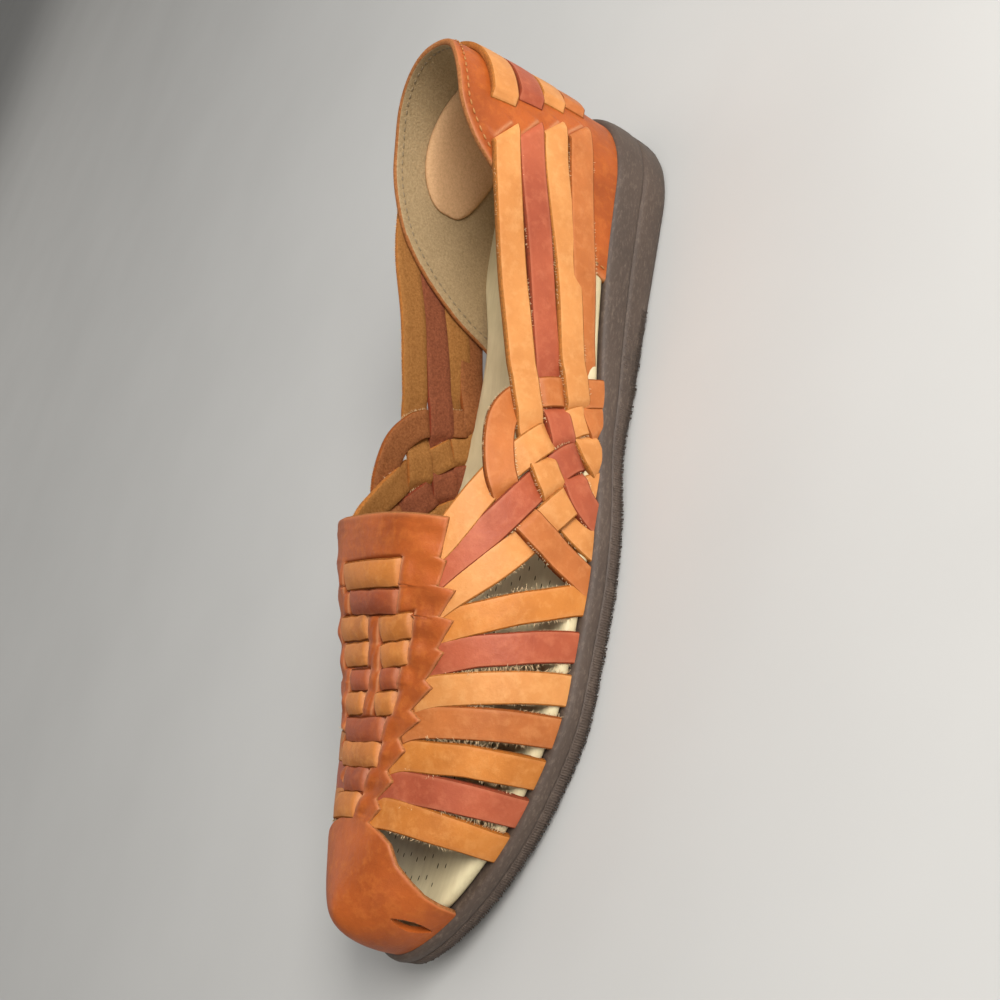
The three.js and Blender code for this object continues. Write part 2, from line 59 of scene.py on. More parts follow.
# The last, section by section: station, half widths as a share of half the ball's width, rim of
# the sole, ridge over the foot (station, sideways, height over the rim), fullness of the wall.
SECTION_COLUMNS = ("x", "outer", "inner", "rim", "ridge_x", "ridge_y", "rise", "full")
SECTIONS = (
    (0, 0.730, 0.730, 19.5, 26, 0.0, 84.0, 0.40),
    (20, 0.730, 0.717, 19.3, 36, 0.0, 84.0, 0.40),
    (45, 0.755, 0.694, 18.4, 52, 0.0, 82.0, 0.43),
    (75, 0.792, 0.616, 15.2, 77, -1.0, 74.0, 0.48),
    (100, 0.830, 0.654, 11.4, 101, -3.0, 62.0, 0.56),
    (128, 0.951, 0.767, 9.6, 128, -5.0, 50.0, 0.66),
    (150, 1.011, 0.893, 9.2, 150, -6.0, 43.0, 0.74),
    (175, 1.014, 0.981, 9.0, 175, -7.0, 33.5, 0.78),
    (200, 0.888, 1.019, 9.3, 199, -7.0, 27.0, 0.80),
    (225, 0.730, 0.994, 11.2, 220, -6.0, 23.5, 0.80),
    (LENGTH, 0.566, 0.981, 15.5, 234, -5.0, 19.5, 0.80),
)
HEEL_ROLL = (11.0, 2.2)
ARCH = (88.0, 134.0, 1.4)
TOE_SPRING = (178.0, 7.5)


def through(xs, ys):
    """A smooth curve through points that never overshoots them."""
    xs, ys = np.asarray(xs, float), np.asarray(ys, float)
    step = np.diff(xs)
    rise = np.diff(ys) / step
    tangent = np.empty_like(xs)
    tangent[0], tangent[-1] = rise[0], rise[-1]
    before, after = rise[:-1], rise[1:]
    wide, narrow = 2 * step[1:] + step[:-1], step[1:] + 2 * step[:-1]
    steady = before * after > 0
    safe_before = np.where(steady, before, 1.0)
    safe_after = np.where(steady, after, 1.0)
    tangent[1:-1] = np.where(steady, (wide + narrow) / (wide / safe_before + narrow / safe_after), 0.0)

    def curve(x):
        x = np.clip(x, xs[0], xs[-1])
        i = np.clip(np.searchsorted(xs, x, side="right") - 1, 0, len(xs) - 2)
        t = (x - xs[i]) / step[i]
        left = (1 + 2 * t) * (1 - t) ** 2 * ys[i] + t * (1 - t) ** 2 * step[i] * tangent[i]
        right = t * t * (3 - 2 * t) * ys[i + 1] + t * t * (t - 1) * step[i] * tangent[i + 1]
        return left + right

    return curve


last = {
    column: through([row[0] for row in SECTIONS], [row[i] for row in SECTIONS])
    for i, column in enumerate(SECTION_COLUMNS)
}


def station_at(turn):
    return LENGTH / 2 * (1 - np.cos(turn))


def turn_at(x):
    return np.arccos(np.clip(1 - 2 * np.asarray(x, float) / LENGTH, -1, 1))


def outline_y(x, side):
    from_heel = np.clip((HEEL_ROUND - x) / HEEL_ROUND, 0, 1)
    into_toe = np.clip((x - (LENGTH - TOE_ROUND)) / TOE_ROUND, 0, 1)
    closing = np.sqrt(1 - from_heel**2) * (1 - into_toe**TOE_POWER) ** TOE_FULLNESS
    width = HALF_BALL * np.where(side > 0, last["outer"](x), -last["inner"](x))
    return width * closing + TOE_DRIFT * into_toe**2 * (1 - closing)


def tread_height(x):
    roll = HEEL_ROLL[1] * np.clip((HEEL_ROLL[0] - x) / HEEL_ROLL[0], 0, 1) ** 2
    waist = np.clip((x - ARCH[0]) / (ARCH[1] - ARCH[0]), 0, 1)
    spring = np.clip((x - TOE_SPRING[0]) / (LENGTH - TOE_SPRING[0]), 0, 1) ** 2
    return roll + ARCH[2] * np.sin(np.pi * waist) ** 2 + TOE_SPRING[1] * spring


def drawn_in(x, side, inset, end_inset=None):
    """Station and sideways place of the outline drawn in by an inset."""
    end_inset = inset if end_inset is None else end_inset
    centre = TOE_DRIFT * np.clip((x - (LENGTH - TOE_ROUND)) / TOE_ROUND, 0, 1) ** 2
    y = centre + (outline_y(x, side) - centre) * (1 - inset / HALF_BALL)
    return end_inset + x * (LENGTH - 2 * end_inset) / LENGTH, y


fine_turns = np.linspace(0, np.pi, 721)
sole_low, sole_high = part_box("outsole")
HEEL_BACK = np.array([sole_low.x, sole_high.y - MM * outline_y(station_at(fine_turns), 1).max(), 0.0])


def place(points):
    """Millimetres from the heel's back, on the floor, into the frame's metres."""
    return np.asarray(points, float) * MM + HEEL_BACK


def mesh_piece(name, points, faces, materials, face_material=None, uv=None):
    """A smooth mesh from points in millimetres. uv is one pair a point."""
    mesh = bpy.data.meshes.new(name)
    faces = faces.tolist() if isinstance(faces, np.ndarray) else faces
    mesh.from_pydata(place(points).tolist(), [], faces)
    for material in materials:
        mesh.materials.append(material)
    if face_material is not None:
        mesh.polygons.foreach_set("material_index", np.asarray(face_material, np.int32))
    mesh.polygons.foreach_set("use_smooth", np.ones(len(mesh.polygons), bool))
    if uv is not None:
        layer = mesh.uv_layers.new(name="UVMap")
        corner = np.empty(len(mesh.loops), np.int32)
        mesh.loops.foreach_get("vertex_index", corner)
        layer.data.foreach_set("uv", np.asarray(uv, np.float32)[corner].ravel())
    mesh.update()
    piece = bpy.data.objects.new(name, mesh)
    bpy.context.scene.collection.objects.link(piece)
    return piece


def paint(piece, name, values):
    """Stores one number a point for a material to read."""
    attribute = piece.data.attributes.new(name, "FLOAT", "POINT")
    attribute.data.foreach_set("value", np.asarray(values, np.float32).ravel())


def colour(code):
    """A linear colour from its six-digit code."""
    parts = [int(code[i:i + 2], 16) / 255 for i in (0, 2, 4)]
    return (*[c / 12.92 if c <= 0.04045 else ((c + 0.055) / 1.055) ** 2.4 for c in parts], 1.0)


class Finish:
    """A material's nodes, laid down one by one."""

    def __init__(self, name, base, roughness, specular=0.5):
        self.material = bpy.data.materials.new(name)
        self.material.use_nodes = True
        self.tree = self.material.node_tree
        self.shader = self.tree.nodes["Principled BSDF"]
        self.shader.inputs["Base Color"].default_value = colour(base)
        self.shader.inputs["Roughness"].default_value = roughness
        self.shader.inputs["Specular IOR Level"].default_value = specular
        place_node = self.tree.nodes.new("ShaderNodeTexCoord")
        self.object_place = place_node.outputs["Object"]
        self.uv = place_node.outputs["UV"]

    def node(self, kind, settings=(), **inputs):
        node = self.tree.nodes.new(kind)
        for key, value in dict(settings).items():
            setattr(node, key, value)
        for key, value in inputs.items():
            socket = node.inputs[key.replace("_", " ")]
            if isinstance(value, bpy.types.NodeSocket):
                self.tree.links.new(value, socket)
            else:
                socket.default_value = value
        return node

    def noise(self, scale, detail=3.0, roughness=0.55, stretch=(1, 1, 1), where=None):
        """Fractal noise with features 1/scale millimetres apart."""
        mapping = self.node("ShaderNodeMapping", Vector=where or self.object_place)
        unit = 1 / MM if where is None else 1.0
        mapping.inputs["Scale"].default_value = [unit * s for s in stretch]
        return self.node("ShaderNodeTexNoise", Vector=mapping.outputs[0], Scale=scale,
                         Detail=detail, Roughness=roughness).outputs["Fac"]

    def ramp(self, value, stops):
        """A grey ramp: (where, how much) pairs."""
        node = self.node("ShaderNodeValToRGB", Fac=value)
        elements = node.color_ramp.elements
        for element, (where, level) in zip(elements, stops[:2]):
            element.position, element.color = where, (level, level, level, 1)
        for where, level in stops[2:]:
            element = elements.new(where)
            element.color = (level, level, level, 1)
        return node.outputs["Color"]

    def math(self, operation, a, b=0.0):
        node = self.tree.nodes.new("ShaderNodeMath")
        node.operation = operation
        for socket, value in zip(node.inputs, (a, b)):
            if isinstance(value, bpy.types.NodeSocket):
                self.tree.links.new(value, socket)
            else:
                socket.default_value = value
        return node.outputs[0]

    def attribute(self, name):
        return self.node("ShaderNodeAttribute", {"attribute_name": name}).outputs["Fac"]

    def blend(self, amount, under, over, how="MIX"):
        """One colour over another, by an amount that varies."""
        node = self.tree.nodes.new("ShaderNodeMix")
        node.data_type = "RGBA"
        node.blend_type = how
        sockets = (node.inputs[0], node.inputs[6], node.inputs[7])
        for socket, value in zip(sockets, (amount, under, over)):
            if isinstance(value, bpy.types.NodeSocket):
                self.tree.links.new(value, socket)
            elif isinstance(value, str):
                socket.default_value = colour(value)
            else:
                socket.default_value = value
        return node.outputs[2]

    def tint(self, value):
        self.tree.links.new(value, self.shader.inputs["Base Color"])

    def gloss(self, value, low, high):
        """Roughness between two limits."""
        node = self.node("ShaderNodeMapRange", Value=value)
        node.inputs["To Min"].default_value = low
        node.inputs["To Max"].default_value = high
        self.tree.links.new(node.outputs[0], self.shader.inputs["Roughness"])

    def relief(self, *heights):
        """Bumps from (height, how deep in millimetres) pairs, one over the other."""
        normal = None
        for height, depth in heights:
            bump = self.node("ShaderNodeBump", Height=height)
            bump.inputs["Strength"].default_value = 1.0
            bump.inputs["Distance"].default_value = depth * MM
            if normal is not None:
                self.tree.links.new(normal, bump.inputs["Normal"])
            normal = bump.outputs["Normal"]
        self.tree.links.new(normal, self.shader.inputs["Normal"])


def sole_rubber(name, base, dusty, dust_share):
    finish = Finish(name, base, 0.6, specular=0.4)
    clouds = finish.noise(0.06, detail=5)
    dust = finish.noise(0.9, detail=6, roughness=0.7, stretch=(0.6, 0.6, 1.6))
    dust_mask = finish.ramp(dust, [(0.5, 0.0), (0.78, dust_share)])
    shaded = finish.blend(finish.ramp(clouds, [(0.35, 0.0), (0.7, 0.5)]), base, "3E342E")
    finish.tint(finish.blend(dust_mask, shaded, dusty))
    finish.gloss(dust, 0.42, 0.75)
    finish.relief((finish.noise(1.2, detail=4), 0.10), (finish.noise(5.0, detail=2), 0.05))
    return finish.material


SOLE_STATIONS = 420
TREAD_STRIPS = 60
TOP_STRIPS = 8
# Wall of the sole from the tread up: share of its height, and how far in from the edge.
SOLE_WALL = (
    (0.00, 3.0), (0.02, 2.0), (0.06, 1.1), (0.12, 0.55), (0.20, 0.30), (0.30, 0.20), (0.40, 0.20),
    (0.50, 0.30), (0.512, 0.75), (0.535, 0.75), (0.548, 0.10), (0.58, 0.02), (0.68, 0.0),
    (0.78, 0.12), (0.88, 0.36), (0.94, 0.72), (0.98, 1.2), (1.0, 1.9), (0.985, 3.2),
)
GROOVE = {"width": 2.4, "depth": 1.5, "pitch": 9.0, "margin": 7.0, "soft": 0.6}
GROOVE_RUNS = ((15, 33), (60, 78), (142, 151), (176, 230))


def outline_rings(levels, stations, waist=None, ends=0.0):
    """Rings round the outline, outer side from heel to toe and back along the inner side.
    levels are (height function of station, inset), and ends is how much more the heel and toe
    are drawn in."""
    x = station_at(np.linspace(0, np.pi, stations + 1))
    rings = []
    for height, inset in levels:
        inner_inset = inset + (waist(x[1:-1]) if waist else 0.0)
        outer_x, outer_y = drawn_in(x, 1, inset, inset + ends)
        inner_x, inner_y = drawn_in(x[1:-1], -1, inner_inset, inset + ends)
        ring_x = np.r_[outer_x, inner_x[::-1]]
        ring_y = np.r_[outer_y, inner_y[::-1]]
        rings.append(np.stack([ring_x, ring_y, height(ring_x)], 1))
    return np.array(rings)


def ring_faces(rings, count):
    i = np.arange(count)
    j = (i + 1) % count
    faces = [np.stack([r * count + i, (r + 1) * count + i, (r + 1) * count + j, r * count + j], 1)
             for r in range(rings - 1)]
    return np.concatenate(faces)


def cross_fill(ring, across, height, flip):
    """A surface across a ring, outer side to inner side, in strips of a given number."""
    count = len(ring)
    half = count // 2
    outer = ring[:half + 1]
    inner = np.concatenate([ring[:1], ring[:half - 1:-1]])
    t = np.linspace(0, 1, across + 1)[None, :, None]
    grid = outer[:, None] * (1 - t) + inner[:, None] * t
    grid[1:-1, 1:-1, 2] = height(grid[1:-1, 1:-1, 0], grid[1:-1, 1:-1, 1], grid[1:-1, 1:-1, 2])
    rows, cols = grid.shape[:2]
    i, j = np.meshgrid(np.arange(rows - 1), np.arange(cols - 1), indexing="ij")
    a = (i * cols + j).ravel()
    quads = np.stack([a, a + 1, a + cols + 1, a + cols], 1)
    return grid.reshape(-1, 3), quads[:, ::-1] if flip else quads


def closed_up(piece, distance=0.02, sliver=0.002):
    """Welds a piece's doubled points and turns its faces outwards."""
    work = bmesh.new()
    work.from_mesh(piece.data)
    bmesh.ops.remove_doubles(work, verts=work.verts, dist=distance * MM)
    bmesh.ops.dissolve_degenerate(work, edges=work.edges, dist=sliver * MM)
    bmesh.ops.recalc_face_normals(work, faces=work.faces)
    work.to_mesh(piece.data)
    work.free()
    return piece


def grooved(x, y, z):
    """Tread with its grooves, cut up into the sole."""
    cut = np.zeros_like(x)
    for first, final in GROOVE_RUNS:
        for at in np.arange(first, final + 0.1, GROOVE["pitch"]):
            inside = (GROOVE["width"] + GROOVE["soft"]) / 2 - np.abs(x - at)
            cut = np.maximum(cut, np.clip(inside / GROOVE["soft"], 0, 1))
    room = np.minimum(outline_y(x, 1) - y, y - outline_y(x, -1)) - GROOVE["margin"]
    return tread_height(x) + GROOVE["depth"] * cut * np.clip(room / GROOVE["soft"] + 0.5, 0, 1)


def wall_level(share, inset):
    return (lambda x: tread_height(x) + share * (last["rim"](x) - tread_height(x)), inset)


sole_rings = outline_rings([wall_level(*level) for level in SOLE_WALL], SOLE_STATIONS)
ring_size = sole_rings.shape[1]
tread, tread_faces = cross_fill(sole_rings[0], TREAD_STRIPS, grooved, flip=True)
top, top_faces = cross_fill(sole_rings[-1], TOP_STRIPS, lambda x, y, z: z, flip=False)
wall = sole_rings.reshape(-1, 3)
outsole = mesh_piece(
    "sole_unit",
    np.concatenate([wall, tread, top]),
    np.concatenate([
        ring_faces(len(SOLE_WALL), ring_size),
        tread_faces + len(wall),
        top_faces + len(wall) + len(tread),
    ]),
    [sole_rubber("brown sole rubber", "54463D", "847466", 0.6)],
)
closed_up(outsole)
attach(outsole, "root")
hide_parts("outsole")

# ---------------------------------------------------------------- sole ribs
# Fine upright ribs moulded in the sole's rubber round the lower band of its wall. They fade out
# towards the heel, and no two are quite alike.
RIB = {
    "pitch": 0.68, "width": 0.40, "stand": 0.22, "least": 0.02, "inset": 0.30, "low": 0.06, "high": 0.49,
    "from": 64.0, "full": 120.0,
}


def group_input(tree, name, kind, value):
    """Adds a named input to a tree and gives its identifier."""
    socket = tree.interface.new_socket(name=name, in_out="INPUT", socket_type=kind)
    if value is not None:
        socket.default_value = value
    return socket.identifier


def along_path_tree(name, thing):
    """Things of one shape, spaced along an edge path and turned to follow it. Each point of the
    path holds the thing's facing and its size. thing adds the shape's nodes and gives its mesh."""
    tree = bpy.data.node_groups.new(name, "GeometryNodeTree")
    tree.interface.new_socket(name="Geometry", in_out="INPUT", socket_type="NodeSocketGeometry")
    ids = {
        "Spacing": group_input(tree, "Spacing", "NodeSocketFloat", 1.0),
        "Scatter": group_input(tree, "Scatter", "NodeSocketFloat", 0.0),
        "Swing": group_input(tree, "Swing", "NodeSocketFloat", 0.0),
        "Size change": group_input(tree, "Size change", "NodeSocketFloat", 0.0),
        "Seed": group_input(tree, "Seed", "NodeSocketInt", 1),
        "Finish": group_input(tree, "Finish", "NodeSocketMaterial", None),
    }
    tree.interface.new_socket(name="Geometry", in_out="OUTPUT", socket_type="NodeSocketGeometry")
    nodes, links = tree.nodes, tree.links
    start, end = nodes.new("NodeGroupInput"), nodes.new("NodeGroupOutput")
    to_curve = nodes.new("GeometryNodeMeshToCurve")
    resample = nodes.new("GeometryNodeResampleCurve")
    resample.mode = "LENGTH"
    links.new(start.outputs["Geometry"], to_curve.inputs[0])
    links.new(to_curve.outputs[0], resample.inputs[0])
    links.new(start.outputs["Spacing"], resample.inputs["Length"])
    tangent = nodes.new("GeometryNodeInputTangent")
    facing = nodes.new("GeometryNodeInputNamedAttribute")
    facing.data_type = "FLOAT_VECTOR"
    facing.inputs["Name"].default_value = "facing"
    size = nodes.new("GeometryNodeInputNamedAttribute")
    size.data_type = "FLOAT_VECTOR"
    size.inputs["Name"].default_value = "size"
    turn_x = nodes.new("FunctionNodeAlignRotationToVector")
    turn_x.axis = "X"
    links.new(tangent.outputs[0], turn_x.inputs["Vector"])
    turn_z = nodes.new("FunctionNodeAlignRotationToVector")
    turn_z.axis = "Z"
    turn_z.pivot_axis = "X"
    links.new(turn_x.outputs[0], turn_z.inputs["Rotation"])
    links.new(facing.outputs["Attribute"], turn_z.inputs["Vector"])
    swing = nodes.new("FunctionNodeRandomValue")
    swing.data_type = "FLOAT_VECTOR"
    links.new(start.outputs["Seed"], swing.inputs["Seed"])
    plus, minus = nodes.new("ShaderNodeCombineXYZ"), nodes.new("ShaderNodeVectorMath")
    for axis in "XYZ":
        links.new(start.outputs["Swing"], plus.inputs[axis])
    minus.operation = "SCALE"
    minus.inputs["Scale"].default_value = -1.0
    links.new(plus.outputs[0], minus.inputs[0])
    links.new(minus.outputs[0], swing.inputs["Min"])
    links.new(plus.outputs[0], swing.inputs["Max"])
    rotate = nodes.new("FunctionNodeRotateRotation")
    rotate.rotation_space = "LOCAL"
    links.new(turn_z.outputs[0], rotate.inputs[0])
    links.new(swing.outputs[0], rotate.inputs[1])
    grow = nodes.new("FunctionNodeRandomValue")
    grow.data_type = "FLOAT"
    least = nodes.new("ShaderNodeMath")
    least.operation = "SUBTRACT"
    least.inputs[0].default_value = 1.0
    links.new(start.outputs["Size change"], least.inputs[1])
    links.new(least.outputs[0], grow.inputs[2])
    grow.inputs[3].default_value = 1.0
    links.new(start.outputs["Seed"], grow.inputs["Seed"])
    scaled = nodes.new("ShaderNodeVectorMath")
    scaled.operation = "SCALE"
    links.new(size.outputs["Attribute"], scaled.inputs[0])
    links.new(grow.outputs[1], scaled.inputs["Scale"])
    nudge = nodes.new("FunctionNodeRandomValue")
    nudge.data_type = "FLOAT"
    back = nodes.new("ShaderNodeMath")
    back.operation = "MULTIPLY"
    back.inputs[1].default_value = -1.0
    links.new(start.outputs["Scatter"], back.inputs[0])
    links.new(back.outputs[0], nudge.inputs[2])
    links.new(start.outputs["Scatter"], nudge.inputs[3])
    links.new(start.outputs["Seed"], nudge.inputs["Seed"])
    slide = nodes.new("ShaderNodeVectorMath")
    slide.operation = "SCALE"
    links.new(tangent.outputs[0], slide.inputs[0])
    links.new(nudge.outputs[1], slide.inputs["Scale"])
    move = nodes.new("GeometryNodeSetPosition")
    points = nodes.new("GeometryNodeCurveToPoints")
    points.mode = "EVALUATED"
    put = nodes.new("GeometryNodeInstanceOnPoints")
    keep = nodes.new("GeometryNodeCaptureAttribute")
    keep.capture_items.new("ROTATION", "Rotation")
    keep.capture_items.new("VECTOR", "Scale")
    keep.capture_items.new("VECTOR", "Slide")
    links.new(resample.outputs[0], keep.inputs[0])
    links.new(rotate.outputs[0], keep.inputs["Rotation"])
    links.new(scaled.outputs[0], keep.inputs["Scale"])
    links.new(slide.outputs[0], keep.inputs["Slide"])
    links.new(keep.outputs[0], points.inputs[0])
    links.new(points.outputs["Points"], move.inputs["Geometry"])
    links.new(keep.outputs["Slide"], move.inputs["Offset"])
    links.new(move.outputs[0], put.inputs["Points"])
    links.new(thing(tree), put.inputs["Instance"])
    links.new(keep.outputs["Rotation"], put.inputs["Rotation"])
    links.new(keep.outputs["Scale"], put.inputs["Scale"])
    realize = nodes.new("GeometryNodeRealizeInstances")
    dress = nodes.new("GeometryNodeSetMaterial")
    links.new(put.outputs[0], realize.inputs[0])
    links.new(realize.outputs[0], dress.inputs["Geometry"])
    links.new(start.outputs["Finish"], dress.inputs["Material"])
    links.new(dress.outputs[0], end.inputs[0])
    return tree, ids


def unit_block(tree):
    """A block one unit a side."""
    cube = tree.nodes.new("GeometryNodeMeshCube")
    cube.inputs["Size"].default_value = (1, 1, 1)
    return cube.outputs["Mesh"]


def unit_grain(tree):
    """A grain one unit long each way, like a short length of thread."""
    ball = tree.nodes.new("GeometryNodeMeshUVSphere")
    ball.inputs["Segments"].default_value = 8
    ball.inputs["Rings"].default_value = 5
    ball.inputs["Radius"].default_value = 0.5
    turn = tree.nodes.new("GeometryNodeTransform")
    turn.inputs["Rotation"].default_value = (0, math.pi / 2, 0)
    tree.links.new(ball.outputs["Mesh"], turn.inputs["Geometry"])
    return turn.outputs[0]


def along_paths(name, tree_ids, paths, finish, smooth=True, **values):
    """A plain mesh of what a tree lays along paths of (points, facing, size) in millimetres."""
    tree, ids = tree_ids
    points = np.concatenate([p for p, _, _ in paths])
    edges, base = [], 0
    for path, _, _ in paths:
        edges += [(base + i, base + i + 1) for i in range(len(path) - 1)]
        base += len(path)
    mesh = bpy.data.meshes.new(name)
    mesh.from_pydata(place(points).tolist(), edges, [])
    for key, column, unit in (("facing", 1, 1.0), ("size", 2, MM)):
        attribute = mesh.attributes.new(key, "FLOAT_VECTOR", "POINT")
        rows = np.concatenate([np.broadcast_to(path[column], path[0].shape) for path in paths])
        attribute.data.foreach_set("vector", (rows * unit).astype(np.float32).ravel())
    guide = bpy.data.objects.new(name + "_guide", mesh)
    bpy.context.scene.collection.objects.link(guide)
    modifier = guide.modifiers.new("lay", "NODES")
    modifier.node_group = tree
    modifier[ids["Finish"]] = finish
    for key, value in values.items():
        label = key.replace("_", " ").capitalize()
        modifier[ids[label]] = value * MM if label in ("Spacing", "Scatter") else value
    evaluated = guide.evaluated_get(bpy.context.evaluated_depsgraph_get())
    made = bpy.data.meshes.new_from_object(evaluated)
    made.name = name
    for key in [a.name for a in made.attributes if a.name in ("facing", "size")]:
        made.attributes.remove(made.attributes[key])
    bpy.data.objects.remove(guide)
    made.polygons.foreach_set("use_smooth", np.full(len(made.polygons), smooth))
    piece = bpy.data.objects.new(name, made)
    bpy.context.scene.collection.objects.link(piece)
    return piece


block_tree = along_path_tree("blocks along a path", unit_block)
grain_tree = along_path_tree("threads along a path", unit_grain)

rib_ring = outline_rings([wall_level((RIB["low"] + RIB["high"]) / 2, RIB["inset"])], SOLE_STATIONS)[0]
rib_ring = np.concatenate([rib_ring, rib_ring[:1]])
rib_along = np.gradient(rib_ring, axis=0)
rib_along[0] = rib_along[-1] = rib_ring[1] - rib_ring[-2]
forward_of_heel = rib_ring[:, 0] > RIB["from"]
rib_ring, rib_along = rib_ring[forward_of_heel], rib_along[forward_of_heel]
rib_facing = np.cross(rib_along, [0, 0, 1])
rib_facing /= np.linalg.norm(rib_facing, axis=1, keepdims=True)
rib_tall = (RIB["high"] - RIB["low"]) * (last["rim"](rib_ring[:, 0]) - tread_height(rib_ring[:, 0]))
rib_growth = (rib_ring[:, 0] - RIB["from"]) / (RIB["full"] - RIB["from"])
rib_stand = RIB["stand"] * np.clip(rib_growth, RIB["least"], 1)
rib_size = np.stack([np.full(len(rib_ring), RIB["width"]), rib_tall, 2 * rib_stand], 1)
ribs = along_paths(
    "sole_ribs", block_tree, [(rib_ring, rib_facing, rib_size)],
    sole_rubber("ribbed sole rubber", "54463D", "847466", 0.6),
    spacing=RIB["pitch"], scatter=0.06, swing=0.05, size_change=0.25, seed=3,
)
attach(ribs, "root")

# ---------------------------------------------------------------- insole
# A cushioned board covered in pale leather, its edge rolled over and thick at the side, with
# rows of short perforations. It is glued in on top of the sole and narrows along the arch.
INSOLE = {"inset": 2.2, "ends": 3.0, "thick": 4.0, "lift": 0.3}
WAIST_GAP = (36.0, 106.0, 5.5)
INSOLE_WALL = (
    (0.0, 0.8), (0.12, 0.25), (0.3, 0.0), (0.5, 0.0), (0.68, 0.15), (0.82, 0.5), (0.92, 1.1),
    (0.98, 2.0), (1.0, 3.2), (0.98, 5.0), (0.95, 7.5),
)


def waist_narrowing(x):
    share = np.clip((x - WAIST_GAP[0]) / (WAIST_GAP[1] - WAIST_GAP[0]), 0, 1)
    return WAIST_GAP[2] * np.sin(np.pi * share) ** 2


def insole_level(share, inset):
    return (lambda x: last["rim"](x) + INSOLE["lift"] + share * INSOLE["thick"], INSOLE["inset"] + inset)


def insole_leather():
    finish = Finish("pale insole leather", "DDD4B0", 0.55, specular=0.35)
    streaks = finish.noise(0.5, detail=5, roughness=0.6, stretch=(0.12, 1.4, 1))
    wear = finish.noise(0.05, detail=4)
    worn = finish.blend(finish.ramp(wear, [(0.4, 0.0), (0.75, 0.55)]), "E0D2AA", "B09F78")
    finish.tint(finish.blend(finish.ramp(streaks, [(0.4, 0.0), (0.7, 0.4)]), worn, "C2B189"))
    finish.gloss(streaks, 0.45, 0.65)
    finish.relief((streaks, 0.08), (finish.noise(3.0), 0.04))
    return finish.material


INSOLE_STATIONS = 240
INSOLE_STRIPS = 24
insole_rings = outline_rings(
    [insole_level(*level) for level in INSOLE_WALL], INSOLE_STATIONS, waist_narrowing, INSOLE["ends"],
)
insole_base, insole_base_faces = cross_fill(insole_rings[0], TOP_STRIPS, lambda x, y, z: z, flip=True)
insole_top, insole_top_faces = cross_fill(insole_rings[-1], INSOLE_STRIPS, lambda x, y, z: z, flip=False)
insole_wall = insole_rings.reshape(-1, 3)
insole = mesh_piece(
    "insole_cushion",
    np.concatenate([insole_wall, insole_base, insole_top]),
    np.concatenate([
        ring_faces(len(INSOLE_WALL), insole_rings.shape[1]),
        insole_base_faces + len(insole_wall),
        insole_top_faces + len(insole_wall) + len(insole_base),
    ]),
    [insole_leather()],
)
closed_up(insole)
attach(insole, "root")
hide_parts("insole")

# Perforations: short dark dashes in rows along the forefoot. Their colour is painted shade for the insides of
# holes that are not cut.
PUNCH = {
    "row_gap": 3.4, "spacing": 5.0, "long": 1.5, "wide": 0.45, "deep": 0.1, "from": 118.0, "to": 236.0,
    "aside": 30.0, "margin": 8.0, "level": 0.95, "proud": 0.02, "fewest": 4,
}


def perforation_paths():
    paths = []
    size = (PUNCH["long"], PUNCH["wide"], PUNCH["deep"])
    for row in np.arange(-PUNCH["aside"], PUNCH["aside"] + 0.1, PUNCH["row_gap"]):
        staggered = (row / PUNCH["row_gap"] % 2) * PUNCH["spacing"] / 2
        x = np.arange(PUNCH["from"] + staggered, PUNCH["to"], 1.0)
        low = outline_y(x, -1) + INSOLE["inset"] + PUNCH["margin"]
        high = outline_y(x, 1) - INSOLE["inset"] - PUNCH["margin"]
        x = x[(row > low) & (row < high)]
        if len(x) < PUNCH["fewest"]:
            continue
        z = last["rim"](x) + INSOLE["lift"] + PUNCH["level"] * INSOLE["thick"] + PUNCH["proud"]
        paths.append((np.stack([x, np.full(len(x), row), z], 1), (0, 0, 1), size))
    return paths


# Near-black painted shade for the perforations' hollows, laid as dashes on the uncut insole top.
hole_shade = Finish("punched through", "2A2118", 0.9, specular=0.1)
perforations = along_paths(
    "insole_perforations", grain_tree, perforation_paths(), hole_shade.material,
    spacing=PUNCH["spacing"], scatter=0.2, swing=0.03, size_change=0.2, seed=5,
)
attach(perforations, "root")

# ---------------------------------------------------------------- heel counter
# A firm panel of orange leather wrapped round the heel, lined with grey-beige nubuck, with one
# row of stitches along its edge. It is lasted over the insole and cemented under.
FOOT_LINE = (1.6, 2.6)
RIB_POINTS = 64
UP_STEP = 0.5
UP_LOW, UP_HIGH = -10.0, 150.0
LAST_ROUND = 0.95
# Millimetres for one radian of turn, for measuring routes and edges on the flat.
ROUTE_SCALE = 80.0


def last_side(x, side):
    """Ribs of the last from the foot line up to the ridge, one for each station."""
    foot_x, foot_y = drawn_in(x, side, *FOOT_LINE)
    foot = np.stack([foot_x, foot_y, last["rim"](foot_x)], 1)
    ridge = np.stack([last["ridge_x"](x), last["ridge_y"](x), last["rim"](x) + last["rise"](x)], 1)
    angle = np.linspace(0, np.pi / 2, RIB_POINTS)
    out = np.abs(np.cos(angle))[None] ** last["full"](x)[:, None]
    up = np.sin(angle) ** LAST_ROUND
    flat = ridge[:, None, :2] + (foot - ridge)[:, None, :2] * out[..., None]
    tall = foot[:, None, 2] + (ridge - foot)[:, None, 2] * up[None]
    return np.concatenate([flat, tall[..., None]], 2)


